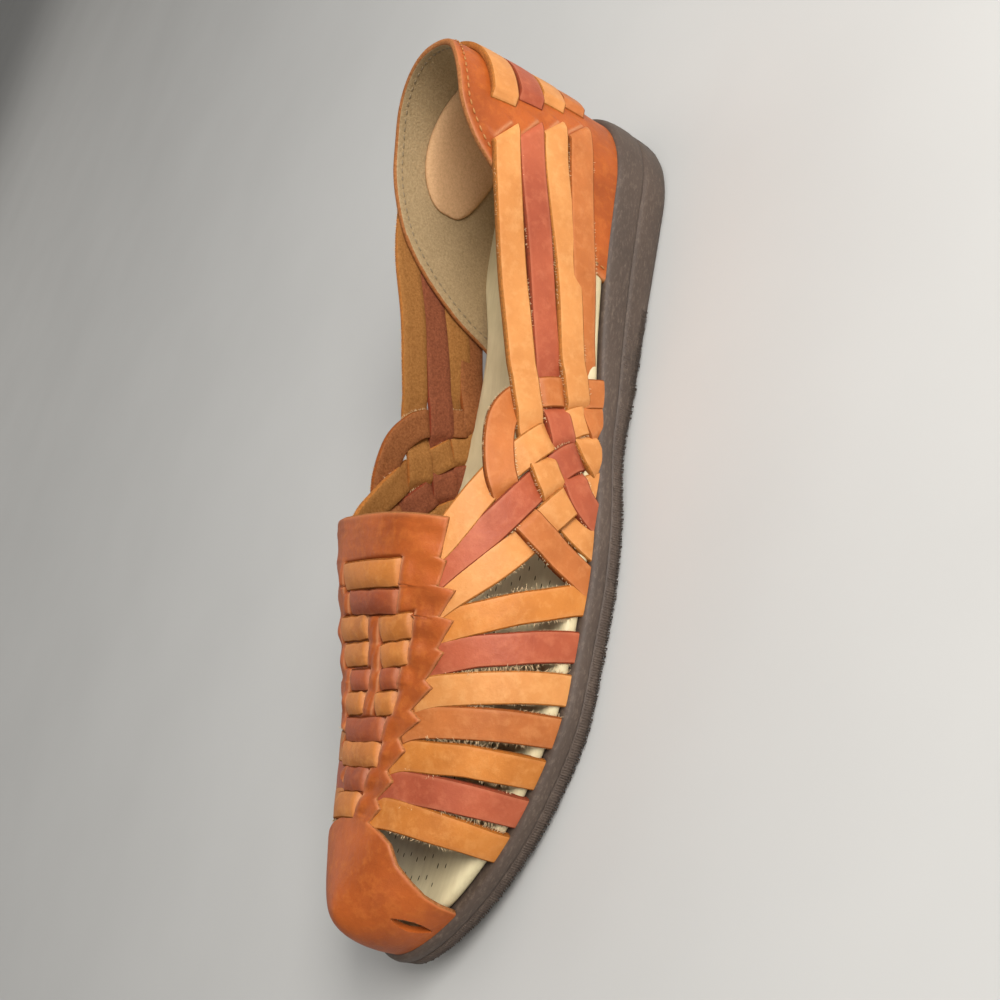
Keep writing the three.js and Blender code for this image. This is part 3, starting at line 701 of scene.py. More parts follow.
def measured_skin():
    """The last's surface by turn and by length of leather up from the foot line."""
    x = station_at(fine_turns)
    outer, inner = last_side(x, 1), last_side(x, -1)
    up = np.arange(UP_LOW, UP_HIGH + UP_STEP / 2, UP_STEP)
    rows = {1: [], -1: []}
    girths = []
    for i in range(len(x)):
        whole = np.concatenate([outer[i], inner[i][-2::-1]])
        girth = np.r_[0, np.cumsum(np.linalg.norm(np.diff(whole, axis=0), axis=1))]
        girths.append(girth[-1])
        for side in (1, -1):
            walk = whole if side > 0 else whole[::-1]
            length = girth if side > 0 else girth[-1] - girth[::-1]
            row = np.stack([np.interp(up, length, walk[:, k]) for k in range(3)], 1)
            row[:, 2] += np.minimum(up, 0) - np.maximum(up - girth[-1], 0)
            rows[side].append(row)
    grid = np.concatenate([np.array(rows[-1])[:0:-1], np.array(rows[1])])
    return grid, np.array(girths)


skin_grid, skin_girths = measured_skin()


def girth_at(x):
    """Length of leather from the foot line over the ridge to the other foot line."""
    return np.interp(turn_at(x), fine_turns, skin_girths)


def skin_point(turn, up):
    """Points on the last at turns round the foot and heights up the leather."""
    turn, up = np.broadcast_arrays(np.asarray(turn, float), np.asarray(up, float))
    turn = (turn + np.pi) % (2 * np.pi) - np.pi
    across = (turn + np.pi) / (2 * np.pi) * (len(skin_grid) - 1)
    along = (up - UP_LOW) / UP_STEP
    i = np.clip(across.astype(int), 0, len(skin_grid) - 2)
    j = np.clip(along.astype(int), 0, skin_grid.shape[1] - 2)
    a, b = (across - i)[..., None], (along - j)[..., None]
    near = skin_grid[i, j] * (1 - b) + skin_grid[i, j + 1] * b
    far = skin_grid[i + 1, j] * (1 - b) + skin_grid[i + 1, j + 1] * b
    return near * (1 - a) + far * a


def unit(vectors):
    return vectors / np.maximum(np.linalg.norm(vectors, axis=-1, keepdims=True), 1e-9)


def skin_normal(turn, up, aside=0.02, above=1.5):
    """The last's outward direction, from neighbours so far aside and above."""
    low = np.maximum(up, above + 0.1)
    round_foot = skin_point(turn + aside, low) - skin_point(turn - aside, low)
    rising = skin_point(turn, low + above) - skin_point(turn, low - above)
    return unit(np.cross(rising, round_foot))


def grain_leather(name, base, dark, light, gloss=(0.42, 0.60), worn="E3A67C", specular=0.35):
    """Smooth vegetable-tanned leather: clouded dye, fine pores, paler where it is skived."""
    finish = Finish(name, base, 0.5, specular=specular)
    clouds = finish.noise(0.055, detail=5, roughness=0.6)
    pores = finish.noise(2.6, detail=3, roughness=0.6)
    fine = finish.noise(0.35, detail=6, roughness=0.65)
    tone = finish.blend(finish.ramp(clouds, [(0.36, 0.0), (0.66, 0.75)]), base, dark)
    tone = finish.blend(finish.ramp(fine, [(0.48, 0.0), (0.78, 0.6)]), tone, light)
    tone = finish.blend(finish.ramp(pores, [(0.30, 0.22), (0.42, 0.0)]), tone, dark)
    tone = finish.blend(finish.math("MULTIPLY", finish.attribute("worn"), 0.85), tone, worn)
    shade = finish.math("MULTIPLY", finish.attribute("shade"), 0.75)
    finish.tint(finish.blend(shade, tone, dark, "MULTIPLY"))
    finish.gloss(fine, *gloss)
    finish.relief((pores, 0.05), (fine, 0.20), (clouds, 0.35))
    return finish.material


def flesh_leather(name, base, dark):
    """The napped inner side of the hide."""
    finish = Finish(name, base, 0.92, specular=0.15)
    nap = finish.noise(1.4, detail=6, roughness=0.75)
    finish.tint(finish.blend(finish.ramp(nap, [(0.38, 0.0), (0.66, 0.9)]), base, dark))
    finish.relief((nap, 0.30),)
    return finish.material


def thread_finish(name, base, dark):
    finish = Finish(name, base, 0.6, specular=0.3)
    finish.tint(finish.blend(finish.noise(3.0, detail=2), base, dark))
    return finish.material


orange = grain_leather("orange panel leather", "B65A20", "8C3F12", "CA722F", worn="CF8E62")
orange_cut = flesh_leather("orange cut edge", "B97A4A", "8C5329")
nubuck = flesh_leather("nubuck lining", "BBA27C", "9A835F")

WALL = 2.0
COUNTER = {
    "under": 1.2, "lowest": 0.3, "round": 0.9, "columns": 300, "rows": 110, "crowding": 0.5, "scale": 72.0,
    "worn": 0.5, "worn_width": 0.9, "ripple": 0.08, "ripple_turns": 9, "ripple_slant": 0.4, "ripple_fade": 25,
}
# The counter's upper edge on each side: station and height up the leather.
COUNTER_OUTER = ((0, 53), (12, 54.5), (26, 53), (36, 48), (44, 40), (50, 30), (55, 17), (60, 0))
COUNTER_INNER = ((0, 53), (10, 49), (20, 45), (33, 41.5), (46, 35.5), (56, 27), (65, 15), (72, 0))


def eased(count, ends=0.12):
    """Steps from 0 to 1, closer together near both ends."""
    t = np.linspace(0, 1, count)
    return (1 - ends) * t + ends * (1 - np.cos(np.pi * t)) / 2


def rounding(distance, radius):
    """How much of its thickness a panel has at a distance from its edge."""
    inward = np.clip(distance / radius, 0, 1)
    return np.sqrt(np.clip(1 - (1 - inward) ** 2, 0, 1))


# Where a panel is thinner than this share of its full thickness, its cut edge shows.
CUT_EDGE = 0.55


def panel(name, turn, up, middle, half, materials, worn=None, shade=None):
    """A sheet of leather from grids of turn, height, middle lift and half thickness.
    materials are the outside, the inside and the cut edge."""
    normal = skin_normal(turn, up)
    base = skin_point(turn, up)
    outside = base + normal * (middle + half)[..., None]
    inside = base + normal * (middle - half)[..., None]
    rows, cols = turn.shape
    count = rows * cols
    i, j = np.meshgrid(np.arange(rows - 1), np.arange(cols - 1), indexing="ij")
    a = (i * cols + j).ravel()
    quads = np.stack([a, a + cols, a + cols + 1, a + 1], 1)
    thin = (half.ravel()[quads].min(1) < CUT_EDGE * half.max()).astype(int) * 2
    rim = np.r_[np.arange(cols - 1), np.arange(cols - 1) + (rows - 1) * cols,
                np.arange(rows - 1) * cols, np.arange(rows - 1) * cols + cols - 1]
    step = np.r_[np.ones(2 * (cols - 1), int), np.full(2 * (rows - 1), cols)]
    band = np.stack([rim, rim + step, rim + step + count, rim + count], 1)
    faces = np.concatenate([quads, quads[:, ::-1] + count, band])
    which = np.r_[thin, np.where(thin > 0, 2, 1), np.full(len(band), 2)]
    points = np.concatenate([outside.reshape(-1, 3), inside.reshape(-1, 3)])
    piece = mesh_piece(name, points, faces, materials, which)
    for key, values in (("worn", worn), ("shade", shade)):
        values = np.zeros(turn.shape) if values is None else values
        paint(piece, key, np.r_[values.ravel(), values.ravel()])
    return closed_up(piece)


def dress(piece, slot="upper_leather"):
    """Fixes a piece of the upper to the shoe."""
    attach(piece, "root")
    return piece


counter_outer = through(*zip(*COUNTER_OUTER))
counter_inner = through(*zip(*COUNTER_INNER))


def counter_top(turn):
    x = station_at(np.abs(turn))
    return np.maximum(np.where(turn < 0, counter_inner(x), counter_outer(x)), COUNTER["lowest"])


# The counter is lower on the inner side, so what lies over it is lower there too.
INNER_DROP = {"most": 5.0, "until": 30.0, "none": 75.0}
# Slits of a side: where each strap comes out at the front, by the strap's upper and lower edge.
COUNTER_SLITS = (
    {"upper": (36.0, 41.5), "lower": (28.5, 36.5)},
    {"upper": (32.5, 34.0), "lower": (23.8, 28.5)},
    {"upper": (26.8, 26.0), "lower": (20.0, 21.5)},
    {"upper": (23.0, 19.0), "lower": (16.0, 12.5)},
)


SLIT = {"swell": 0.55, "behind": 3.5, "ahead": 0.5, "worn": 0.45, "ends": 1.0}


def slit_lip(turn, up):
    """Where the counter swells behind each slit, and how worn the slit's edge is."""
    swell, worn = np.zeros_like(up), np.zeros_like(up)
    flat_turn = np.abs(turn) * ROUTE_SCALE
    drop = np.where(turn < 0, INNER_DROP["most"], 0.0)
    for slit in COUNTER_SLITS:
        high = np.array([turn_at(slit["upper"][0]) * ROUTE_SCALE, slit["upper"][1]])
        low = np.array([turn_at(slit["lower"][0]) * ROUTE_SCALE, slit["lower"][1]])
        along = high - low
        length = np.hypot(*along)
        along = along / length
        t = (flat_turn - low[0]) * along[0] + (up + drop - low[1]) * along[1]
        off = (flat_turn - low[0]) * along[1] - (up + drop - low[1]) * along[0]
        inside = np.clip(t / SLIT["ends"], 0, 1) * np.clip((length - t) / SLIT["ends"], 0, 1)
        spread = np.where(off < 0, SLIT["behind"], SLIT["ahead"])
        swell = np.maximum(swell, inside * np.exp(-(off / spread) ** 2))
        worn = np.maximum(worn, inside * np.exp(-(off / SLIT["worn"]) ** 2))
    return swell, worn


def make_counter():
    ends = -turn_at(COUNTER_INNER[-1][0]), turn_at(COUNTER_OUTER[-1][0])
    turns = np.linspace(*ends, COUNTER["columns"])
    share = eased(COUNTER["rows"], COUNTER["crowding"])
    top = counter_top(turns)
    turn = np.repeat(turns[:, None], len(share), 1)
    up = -COUNTER["under"] + (top[:, None] + COUNTER["under"]) * share[None]
    slope = np.gradient(top, turns * COUNTER["scale"])
    distance = (top[:, None] - up) / np.sqrt(1 + slope[:, None] ** 2)
    swell, worn = slit_lip(turn, up)
    swell = SLIT["swell"] / 2 * swell
    half = (WALL / 2 + swell) * rounding(distance, COUNTER["round"])
    edge = np.exp(-(distance / COUNTER["worn_width"]) ** 2)
    wave = np.sin(turn * COUNTER["ripple_turns"] + COUNTER["ripple_slant"] * up)
    ripple = COUNTER["ripple"] * wave * np.exp(-(up / COUNTER["ripple_fade"]) ** 2)
    return panel("heel_counter", turn, up, -WALL / 2 + swell + ripple, half,
                 [orange, nubuck, orange_cut], worn=np.maximum(worn, COUNTER["worn"] * edge))


counter = dress(make_counter())
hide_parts("upper")

STITCH = {
    "inset": 2.3, "spacing": 2.4, "long": 1.75, "wide": 0.6, "thick": 0.5,
    "inner_end": 68.0, "outer_end": 57.2, "lowest": 1.0, "points": 260,
}


def stitch_path(turn, up, lift):
    """A row of stitches lying on the leather."""
    normal = skin_normal(turn, up)
    return skin_point(turn, up) + normal * lift, normal, (STITCH["long"], STITCH["wide"], STITCH["thick"])


def counter_stitches():
    """Turns and heights of the row, an even way in from the counter's edge."""
    turns = np.linspace(-turn_at(STITCH["inner_end"]), turn_at(STITCH["outer_end"]), STITCH["points"])
    top = counter_top(turns)
    up = top - STITCH["inset"] * np.sqrt(1 + np.gradient(top, turns * COUNTER["scale"]) ** 2)
    keep = up > STITCH["lowest"]
    return turns[keep], up[keep]


for row, lift, thread in (
    ("counter_stitches", 0.18, thread_finish("tan thread", "C88A50", "94602E")),
    ("lining_stitches", -WALL - 0.04, thread_finish("grey-beige thread", "9C8A6C", "7C6C52")),
):
    dress(along_paths(
        row, grain_tree, [stitch_path(*counter_stitches(), lift)], thread,
        spacing=STITCH["spacing"], scatter=0.08, swing=0.06, size_change=0.12, seed=7,
    ))

# ---------------------------------------------------------------- lengthwise straps
# Flat straps cut from dyed leather. On each side four of them come out of slits in the counter,
# run forward side by side, and are cemented under at the sole.
STRAP = {
    "width": 8.2, "thick": 1.8, "corner": 0.4, "bevel": 0.15, "crown": 0.10, "middle": -0.9, "tucked": 2.6,
    "waver": 0.12, "widening": 0.012, "twist": 0.018, "slant_run": 10.0, "worn": 0.35, "worn_edge": 0.35,
    "worn_end": 1.2, "spacing": 0.7, "weld": 0.004,
}
# Each dye's grain side: usual, dark and light; then its flesh side: usual and dark.
DYES = {
    "light": ("D99352", "BD7638", "E3A96B", "AD7842", "855729"),
    "honey": ("CF8138", "AE6424", "DD9A55", "A86F38", "7F4F22"),
    "brick": ("B65C3C", "944229", "C87350", "96583C", "6E3A26"),
    "russet": ("C4733A", "A15726", "D28C53", "A0663E", "774423"),
    "tan": ("C97A32", "9F5A20", "DA954E", "A56C38", "7A4C24"),
    "brown": ("A24A20", "7B3414", "B86434", "905A34", "66391C"),
}
strap_finishes = {
    dye: [grain_leather(dye + " strap leather", *codes[:3]),
          flesh_leather(dye + " strap flesh", *codes[3:]),
          flesh_leather(dye + " strap cut edge", codes[1], codes[4])]
    for dye, codes in DYES.items()
}


def route_samples(route, spacing):
    """Turns, heights and lengths along a smooth route of (turn, height) points."""
    knots = np.asarray(route, float) * (ROUTE_SCALE, 1)
    gap = np.sqrt(np.linalg.norm(np.diff(knots, axis=0), axis=1))
    speed = np.diff(knots, axis=0) / gap[:, None]
    tangent = np.empty_like(knots)
    share = (gap[1:] / (gap[:-1] + gap[1:]))[:, None]
    tangent[1:-1] = speed[:-1] * share + speed[1:] * (1 - share)
    tangent[0] = 1.5 * speed[0] - 0.5 * tangent[1] if len(knots) > 2 else speed[0]
    tangent[-1] = 1.5 * speed[-1] - 0.5 * tangent[-2] if len(knots) > 2 else speed[-1]
    t = np.linspace(0, 1, 60, endpoint=False)[:, None]
    pieces = []
    for i, h in enumerate(gap):
        pieces.append((1 + 2 * t) * (1 - t) ** 2 * knots[i] + t * (1 - t) ** 2 * h * tangent[i]
                      + t * t * (3 - 2 * t) * knots[i + 1] + t * t * (t - 1) * h * tangent[i + 1])
    fine = np.concatenate([*pieces, knots[-1:]]) / (ROUTE_SCALE, 1)
    points = skin_point(fine[:, 0], fine[:, 1])
    length = np.r_[0, np.cumsum(np.linalg.norm(np.diff(points, axis=0), axis=1))]
    even = np.linspace(0, length[-1], max(int(length[-1] / spacing), 4) + 1)
    return np.interp(even, length, fine[:, 0]), np.interp(even, length, fine[:, 1]), even


def strap_section(width, thick, corner):
    """A strap's outline across: (across, out) points, and after each the kind of face: 0 for the
    grain side, 1 for the flesh side and 2 for the cut edge."""
    reach, out = width / 2, thick / 2
    top = np.linspace(-reach + corner, reach - corner, 9)
    bevel = STRAP["bevel"]
    points = [(a, out + STRAP["crown"] * (1 - (a / reach) ** 2), 0) for a in top]

    def round_corner(centre, turns):
        for turn in turns:
            angle = math.radians(turn)
            points.append((centre + corner * math.cos(angle), out - corner + corner * math.sin(angle), 2))

    round_corner(reach - corner, (60, 30, 0))
    points.append((reach, -out + bevel, 2))
    for a in np.linspace(reach - bevel, -reach + bevel, 6):
        points.append((a, -out, 1))
    points.append((-reach, -out + bevel, 2))
    round_corner(-reach + corner, (180, 150, 120))
    kinds = [k for _, _, k in points]
    kinds[len(top) - 1] = 2
    return np.array([p[:2] for p in points]), np.array(kinds)


strap_random = np.random.default_rng(11)
strap_edges = []


def strap(name, route, dye, lift=None, width=STRAP["width"], thick=STRAP["thick"], worn_ends=(0, 0),
          spacing=STRAP["spacing"], begin=0.0, skew=0.0):
    """A strap along a route. lift gives how far it stands off its usual place, from the lengths
    along it and across it. begin is how far along the route it starts, and skew how slanted its
    end is there."""
    turn, up, along = route_samples(route, spacing)
    turn, up, along = turn[along >= begin], up[along >= begin], along[along >= begin]
    outline, kinds = strap_section(width, thick, STRAP["corner"])
    centre = skin_point(turn, up)
    normal = skin_normal(turn, up, above=3.0)
    forward = unit(np.gradient(centre, axis=0))
    across = unit(np.cross(forward, normal))
    normal = unit(np.cross(across, forward))
    waver = np.interp(along, np.linspace(begin, along[-1], 7), strap_random.normal(0, STRAP["waver"], 7))
    twist = np.interp(along, np.linspace(begin, along[-1], 6), strap_random.normal(0, STRAP["twist"], 6))
    s, a = np.meshgrid(along, outline[:, 0], indexing="ij")
    aside = a * (1 + STRAP["widening"] * waver[:, None]) + waver[:, None]
    stand = STRAP["middle"] + (lift(s, a) if lift else 0.0) + outline[None, :, 1] + twist[:, None] * a
    slant = skew * a * np.clip(1 - (s - begin) / STRAP["slant_run"], 0, 1)
    points = (centre[:, None] + across[:, None] * aside[..., None]
              + normal[:, None] * stand[..., None] + forward[:, None] * slant[..., None])
    points[..., 2] = np.maximum(points[..., 2], last["rim"](points[..., 0]) - STRAP["tucked"])
    rows, cols = s.shape
    i, j = np.meshgrid(np.arange(rows - 1), np.arange(cols), indexing="ij")
    k = (j + 1) % cols
    faces = np.stack([i * cols + j, (i + 1) * cols + j, (i + 1) * cols + k, i * cols + k], -1).reshape(-1, 4)
    which = np.tile(kinds, rows - 1)
    end_caps = [(end, end + n, end + n + 1) for end in (0, (rows - 1) * cols) for n in range(1, cols - 1)]
    which = np.r_[which, np.full(len(end_caps), 2)]
    piece = mesh_piece(name, points.reshape(-1, 3), faces.tolist() + end_caps, strap_finishes[dye], which)
    edge = np.exp(-((width / 2 - np.abs(a)) / STRAP["worn_edge"]) ** 2)
    start_worn = worn_ends[0] * np.exp(-(s - begin) / STRAP["worn_end"])
    finish_worn = worn_ends[1] * np.exp(-(along[-1] - s) / STRAP["worn_end"])
    paint(piece, "worn", np.maximum(STRAP["worn"] * edge, np.maximum(start_worn, finish_worn)))
    paint(piece, "shade", np.zeros(s.shape))
    closed_up(piece, STRAP["weld"])
    strap_edges.append((name, centre, across, normal, stand[:, 0], width, along))
    return dress(piece)


def drop_at(x, side):
    """How much lower a route runs on the inner side."""
    share = np.clip((INNER_DROP["none"] - x) / (INNER_DROP["none"] - INNER_DROP["until"]), 0, 1)
    return (INNER_DROP["most"] if side < 0 else 0.0) * share


def on_side(route, side):
    """A route of (station, height) points as turns and heights on one side of the foot."""
    return [(side * turn_at(x), up - drop_at(x, side)) for x, up in route]


# Each strap's dye and its route: station and height up the leather.
SIDE_STRAPS = {
    "side_1": ("light", [(30, 39), (45, 36), (78, 28.5), (99, 24.5), (110, 21), (122, 16), (129, 10),
                         (134, 4), (137.5, -6)]),
    "side_2": ("brick", [(26, 32), (40, 29), (75, 20), (93, 17), (107, 13), (116, 9.5), (125, 5), (130, -6)]),
    "side_3": ("light", [(23.5, 24), (35, 22), (72, 12), (94, 9), (103, 6), (111, 2), (117, -6)]),
    "side_4": ("russet", [(20, 15.5), (30, 14), (69, 7.5), (87, 5.2), (99, 2.5), (109, -6)]),
}
CROSS_STRAPS = {
    "loop": ("russet", [(91, -6), (93.5, 2), (96, 9), (98.5, 17), (103, 25), (110, 29.5), (119, 30),
                        (127, 28), (135, 20.5), (141, 11), (145, 2), (148, -6)]),
    "cross_1": ("light", [(151, 46), (145, 40.5), (131.6, 33), (125, 29), (115.4, 21), (109, 14),
                          (103, 6.5), (98, -6)]),
    "cross_2": ("brick", [(158, 44), (151.5, 38.5), (141, 30), (127, 20), (121.5, 15.5), (115, 9.5),
                          (107, -6)]),
    "cross_3": ("light", [(165, 43), (158.6, 36.5), (150.5, 28), (141, 20), (135, 15.5), (129, 11), (123, 5),
                          (117, -6)]),
}
# Which strap lies over which where two cross: a plain over-and-under weave.
OVER = {
    ("side_1", "loop"), ("cross_1", "side_1"), ("side_1", "cross_2"), ("cross_3", "side_1"),
    ("loop", "side_2"), ("side_2", "cross_1"), ("cross_2", "side_2"), ("side_2", "cross_3"),
    ("side_3", "loop"), ("cross_1", "side_3"), ("side_3", "cross_2"), ("cross_3", "side_3"),
    ("loop", "side_4"), ("side_4", "cross_1"), ("cross_2", "side_4"),
    ("loop", "cross_1"), ("cross_2", "loop"), ("loop", "cross_3"),
}
WEAVE = {
    "lift": 0.92, "reach": 4.0, "ease": 1.3, "closest": 0.9, "gap": 0.6, "run_out": 5.0, "margin": 12.0,
    "step": 0.2, "kernel": 4.0,
}


def crossings(own, other, side):
    """Lengths along one strap's route where another crosses it."""
    turn, up, along = route_samples(on_side(own, side), STRAP["spacing"])
    other_turn, other_up, _ = route_samples(on_side(other, side), STRAP["spacing"])
    near = np.hypot((turn[:, None] - other_turn) * ROUTE_SCALE, up[:, None] - other_up).min(1)
    return [along[near.argmin()]] if near.min() < WEAVE["closest"] else []


def woven_lift(name, routes, side):
    """How a strap rises and dips through the weave."""
    own = routes[name]
    levels = []
    for other, route in routes.items():
        if other != name and ((name, other) in OVER or (other, name) in OVER):
            rise = WEAVE["lift"] if (name, other) in OVER else -WEAVE["lift"]
            levels += [(at, rise) for at in crossings(own, route, side)]
    levels.sort()
    total = route_samples(on_side(own, side), STRAP["spacing"])[2][-1]
    at, rise = [], []
    for k, (where, level) in enumerate(levels):
        before = where - WEAVE["reach"]
        after = where + WEAVE["reach"]
        if k and before < at[-1] + WEAVE["gap"]:
            middle = (levels[k - 1][0] + where) / 2
            at[-1], before = middle - WEAVE["gap"] / 2, middle + WEAVE["gap"] / 2
        at += [before, after]
        rise += [level, level]
    at = [at[0] - WEAVE["run_out"], *at, at[-1] + WEAVE["run_out"]]
    rise = [0.0, *rise, 0.0]
    fine = np.arange(-WEAVE["margin"], total + WEAVE["margin"], WEAVE["step"])
    raw = np.interp(fine, at, rise)
    beside = np.arange(-WEAVE["kernel"], WEAVE["kernel"] + 0.01, WEAVE["step"])
    kernel = np.exp(-(beside / WEAVE["ease"]) ** 2)
    soft = np.convolve(raw, kernel / kernel.sum(), mode="same")
    return lambda s, a: np.interp(s, fine, soft)


routes = {key: value[1] for key, value in {**SIDE_STRAPS, **CROSS_STRAPS}.items()}
OVER_COUNTER = {
    "lift": 1.95, "in_slit": 0.2, "out_run": 2.4, "out_power": 0.6, "edge_lead": 1.0, "down_run": 30.0,
}
# The third strap lies a little over the fourth, which it overlaps until they part.
OVERLAP = {"side_3": 0.9, "side_4": -0.3}
OVERLAP_PARTS = (70.0, 85.0)


def side_strap_lift(index, name, side):
    """A side strap's lift out of its slit, over the counter's front and down into the weave, and
    how far along its route the slit is."""
    weave = woven_lift(name, routes, side)
    slit = COUNTER_SLITS[index]
    turn, up, along = route_samples(on_side(routes[name], side), STRAP["spacing"])
    x = station_at(np.abs(turn))
    mid_x = (slit["upper"][0] + slit["lower"][0]) / 2
    slit_at = np.interp(mid_x, x, along)
    edge = counter_outer if side > 0 else counter_inner
    last_x = (COUNTER_OUTER if side > 0 else COUNTER_INNER)[-1][0]
    edge_at = along[np.where(x < last_x, np.abs(up - edge(x)), np.inf).argmin()]

    def lift(s, a):
        out_of_slit = np.clip((s - slit_at) / OVER_COUNTER["out_run"], 0, 1) ** OVER_COUNTER["out_power"]
        emerged = OVER_COUNTER["in_slit"] + (1 - OVER_COUNTER["in_slit"]) * out_of_slit
        off_counter = np.clip((s - edge_at + OVER_COUNTER["edge_lead"]) / OVER_COUNTER["down_run"], 0, 1)
        off_counter = off_counter**2 * (3 - 2 * off_counter)
        together = np.clip((OVERLAP_PARTS[1] - s) / (OVERLAP_PARTS[1] - OVERLAP_PARTS[0]), 0, 1)
        over = OVER_COUNTER["lift"] * (1 - off_counter) * emerged
        return weave(s, a) + over + OVERLAP.get(name, 0.0) * off_counter * together

    return lift, slit_at


SIDES = ((1, "outer"), (-1, "inner"))
SLIT_SLANT = 0.85
for side, side_name in SIDES:
    for index, (key, (dye, route)) in enumerate(SIDE_STRAPS.items()):
        lift, slit_at = side_strap_lift(index, key, side)
        strap(f"{key}_{side_name}", on_side(route, side), dye, lift, begin=slit_at, skew=SLIT_SLANT * side)

# ---------------------------------------------------------------- cross straps and loop
# Four straps a side woven over and under the lengthwise ones. The first comes up from the sole,
# loops beside the throat and goes back to the sole; three come out of slits in the vamp.
for side, side_name in SIDES:
    for key, (dye, route) in CROSS_STRAPS.items():
        strap(f"{key}_{side_name}", on_side(route, side), dye, woven_lift(key, routes, side))

# ---------------------------------------------------------------- forefoot straps
# Seven straps a side, cut from the same leather as the lengthwise ones. Each runs from a slit
# along the vamp's edge down to the sole, where it is cemented under.
# Each strap's dye, its slit's station and height, and its station at the sole.
FOREFOOT = (
    ("honey", 165.5, 35.0, 151.0), ("brick", 173.8, 36.0, 163.5), ("light", 182.4, 36.8, 174.5),
    ("russet", 190.0, 37.8, 185.5), ("honey", 198.5, 38.2, 196.5), ("brick", 206.5, 37.6, 206.5),
    ("honey", 214.0, 36.2, 216.0),
)
FOREFOOT_ENDS = {"forward": 1.5, "up": 4, "foot": 0.5, "under": -4.0}
for side, side_name in SIDES:
    for number, (dye, slit_x, slit_up, sole_x) in enumerate(FOREFOOT, 1):
        start = (slit_x + FOREFOOT_ENDS["forward"], slit_up + FOREFOOT_ENDS["up"])
        route = [start, (slit_x, slit_up), (sole_x, FOREFOOT_ENDS["foot"]), (sole_x, FOREFOOT_ENDS["under"])]
        strap(f"forefoot_{number}_{side_name}", on_side(route, side), dye)

# ---------------------------------------------------------------- heel bands
# Four straps cut from dyed leather, in the colours of the lengthwise ones. They go round the
# outside of the counter, from slit to slit.
# Each band's dye, its height at the back, and its slit's station and height.
HEEL_BANDS = (
    ("light", 43, 24, 40), ("brick", 34, 20, 31.5), ("light", 25, 16, 23.5), ("russet", 16, 12, 15.5),
)
BAND = {"sunk": 0.3, "lift": 1.6, "run": 2.4}


def band_lift(total):
    """A band's lift: out of one slit, over the counter and into the other."""
    def lift(s, a):
        rise = np.clip(np.minimum(s, total - s) / BAND["run"], 0, 1)
        return BAND["sunk"] + BAND["lift"] * rise * rise * (3 - 2 * rise)
    return lift


for number, (dye, back_up, slit_x, slit_up) in enumerate(HEEL_BANDS, 1):
    turn = float(turn_at(slit_x))
    side_up = (slit_up + 2 * back_up) / 3
    lower = INNER_DROP["most"]
    route = [(-turn, slit_up - lower), (-turn / 2, side_up - lower / 2), (0, back_up), (turn / 2, side_up),
             (turn, slit_up)]
    strap(f"heel_band_{number}", route, dye, band_lift(route_samples(route, STRAP["spacing"])[2][-1]))

# ---------------------------------------------------------------- vamp and toe cap
# One panel of orange leather over the forefoot, lasted down round the toe. Its side edges are
# cut in a row of slanted slits that the straps come out of; slits down its middle hold short
# woven pieces. A short slit opens on each side of the toe.
VAMP = {
    "throat": 139.0, "even_until": 231.0, "step": 0.4, "toe_columns": 70, "rows": 160, "crowding": 0.45,
    "round": 0.8, "slits_until": 216.0, "steepest": 3, "middle": -0.1, "dip": 0.9, "rail": 0.85,
}
# The vamp's side edge: station and height up the leather.
VAMP_EDGE = (
    (139, 39.5), (149.4, 39.8), (149.7, 38.0), (156.3, 38.7), (156.6, 34.0), (163.4, 36.7), (163.8, 32.8),
    (171, 35.6), (171.8, 33.6), (179, 37.2), (180.6, 34.6), (186.6, 39.2), (188.8, 35.0), (193.9, 40.2),
    (196.9, 36.4), (202.8, 40.1), (205.2, 36.2), (210.6, 39.2), (213, 35.8), (217.6, 37.2), (219.4, 31),
    (221.4, 26.6), (226, 21.4), (229, 15.7), (231.5, 10.0), (233, 3.5), (233.6, -1.5),
)
# The woven pieces: dye, station and height of the outer end, the same of the inner end, width.
# Here height goes on over the ridge, so the inner end's is more than the outer end's.
VAMP_WEAVE = (
    ("tan", 153.5, 50.5, 154.3, 75.0, 7.6), ("brown", 160.6, 50.0, 160.4, 71.0, 6.9),
    ("tan", 165.8, 44.0, 167.6, 55.5, 6.9), ("tan", 166.2, 61.0, 167.2, 76.0, 6.9),
    ("tan", 172.2, 44.0, 174.2, 54.0, 6.6), ("tan", 173.0, 60.0, 173.8, 72.5, 6.6),
    ("brown", 179.0, 46.0, 179.6, 53.0, 6.0), ("brown", 179.4, 58.0, 180.2, 67.5, 6.0),
    ("tan", 185.0, 45.0, 186.0, 53.0, 6.4), ("tan", 185.2, 58.5, 186.4, 67.5, 6.4),
    ("brown", 192.0, 47.0, 193.0, 65.0, 6.8), ("tan", 198.6, 45.0, 199.6, 63.5, 6.9),
    ("brown", 206.0, 46.5, 206.8, 57.0, 6.6), ("tan", 213.4, 45.0, 214.8, 56.5, 7.0),
)


def vamp_weave_marks(x, across):
    """Where the vamp dips under its woven pieces, where its slits are worn, and where it swells
    beside their ends."""
    dip, worn, rail = np.zeros_like(x), np.zeros_like(x), np.zeros_like(x)
    for _, x_outer, outer, x_inner, inner, width in VAMP_WEAVE:
        t = (across - outer) / (inner - outer)
        beside = np.abs(x - (x_outer + (x_inner - x_outer) * np.clip(t, 0, 1)))
        within = np.clip((width / 2 + 0.4 - beside) / 0.8, 0, 1)
        end = np.minimum(across - outer, inner - across)
        dip = np.maximum(dip, within * np.clip((end + 0.2) / 0.5, 0, 1))
        worn = np.maximum(worn, within * np.exp(-((end + 0.5) / 0.4) ** 2))
        rail = np.maximum(rail, np.exp(-(beside / (0.45 * width)) ** 2) * np.exp(-((end + 2.2) / 1.8) ** 2))
    return dip, worn, rail


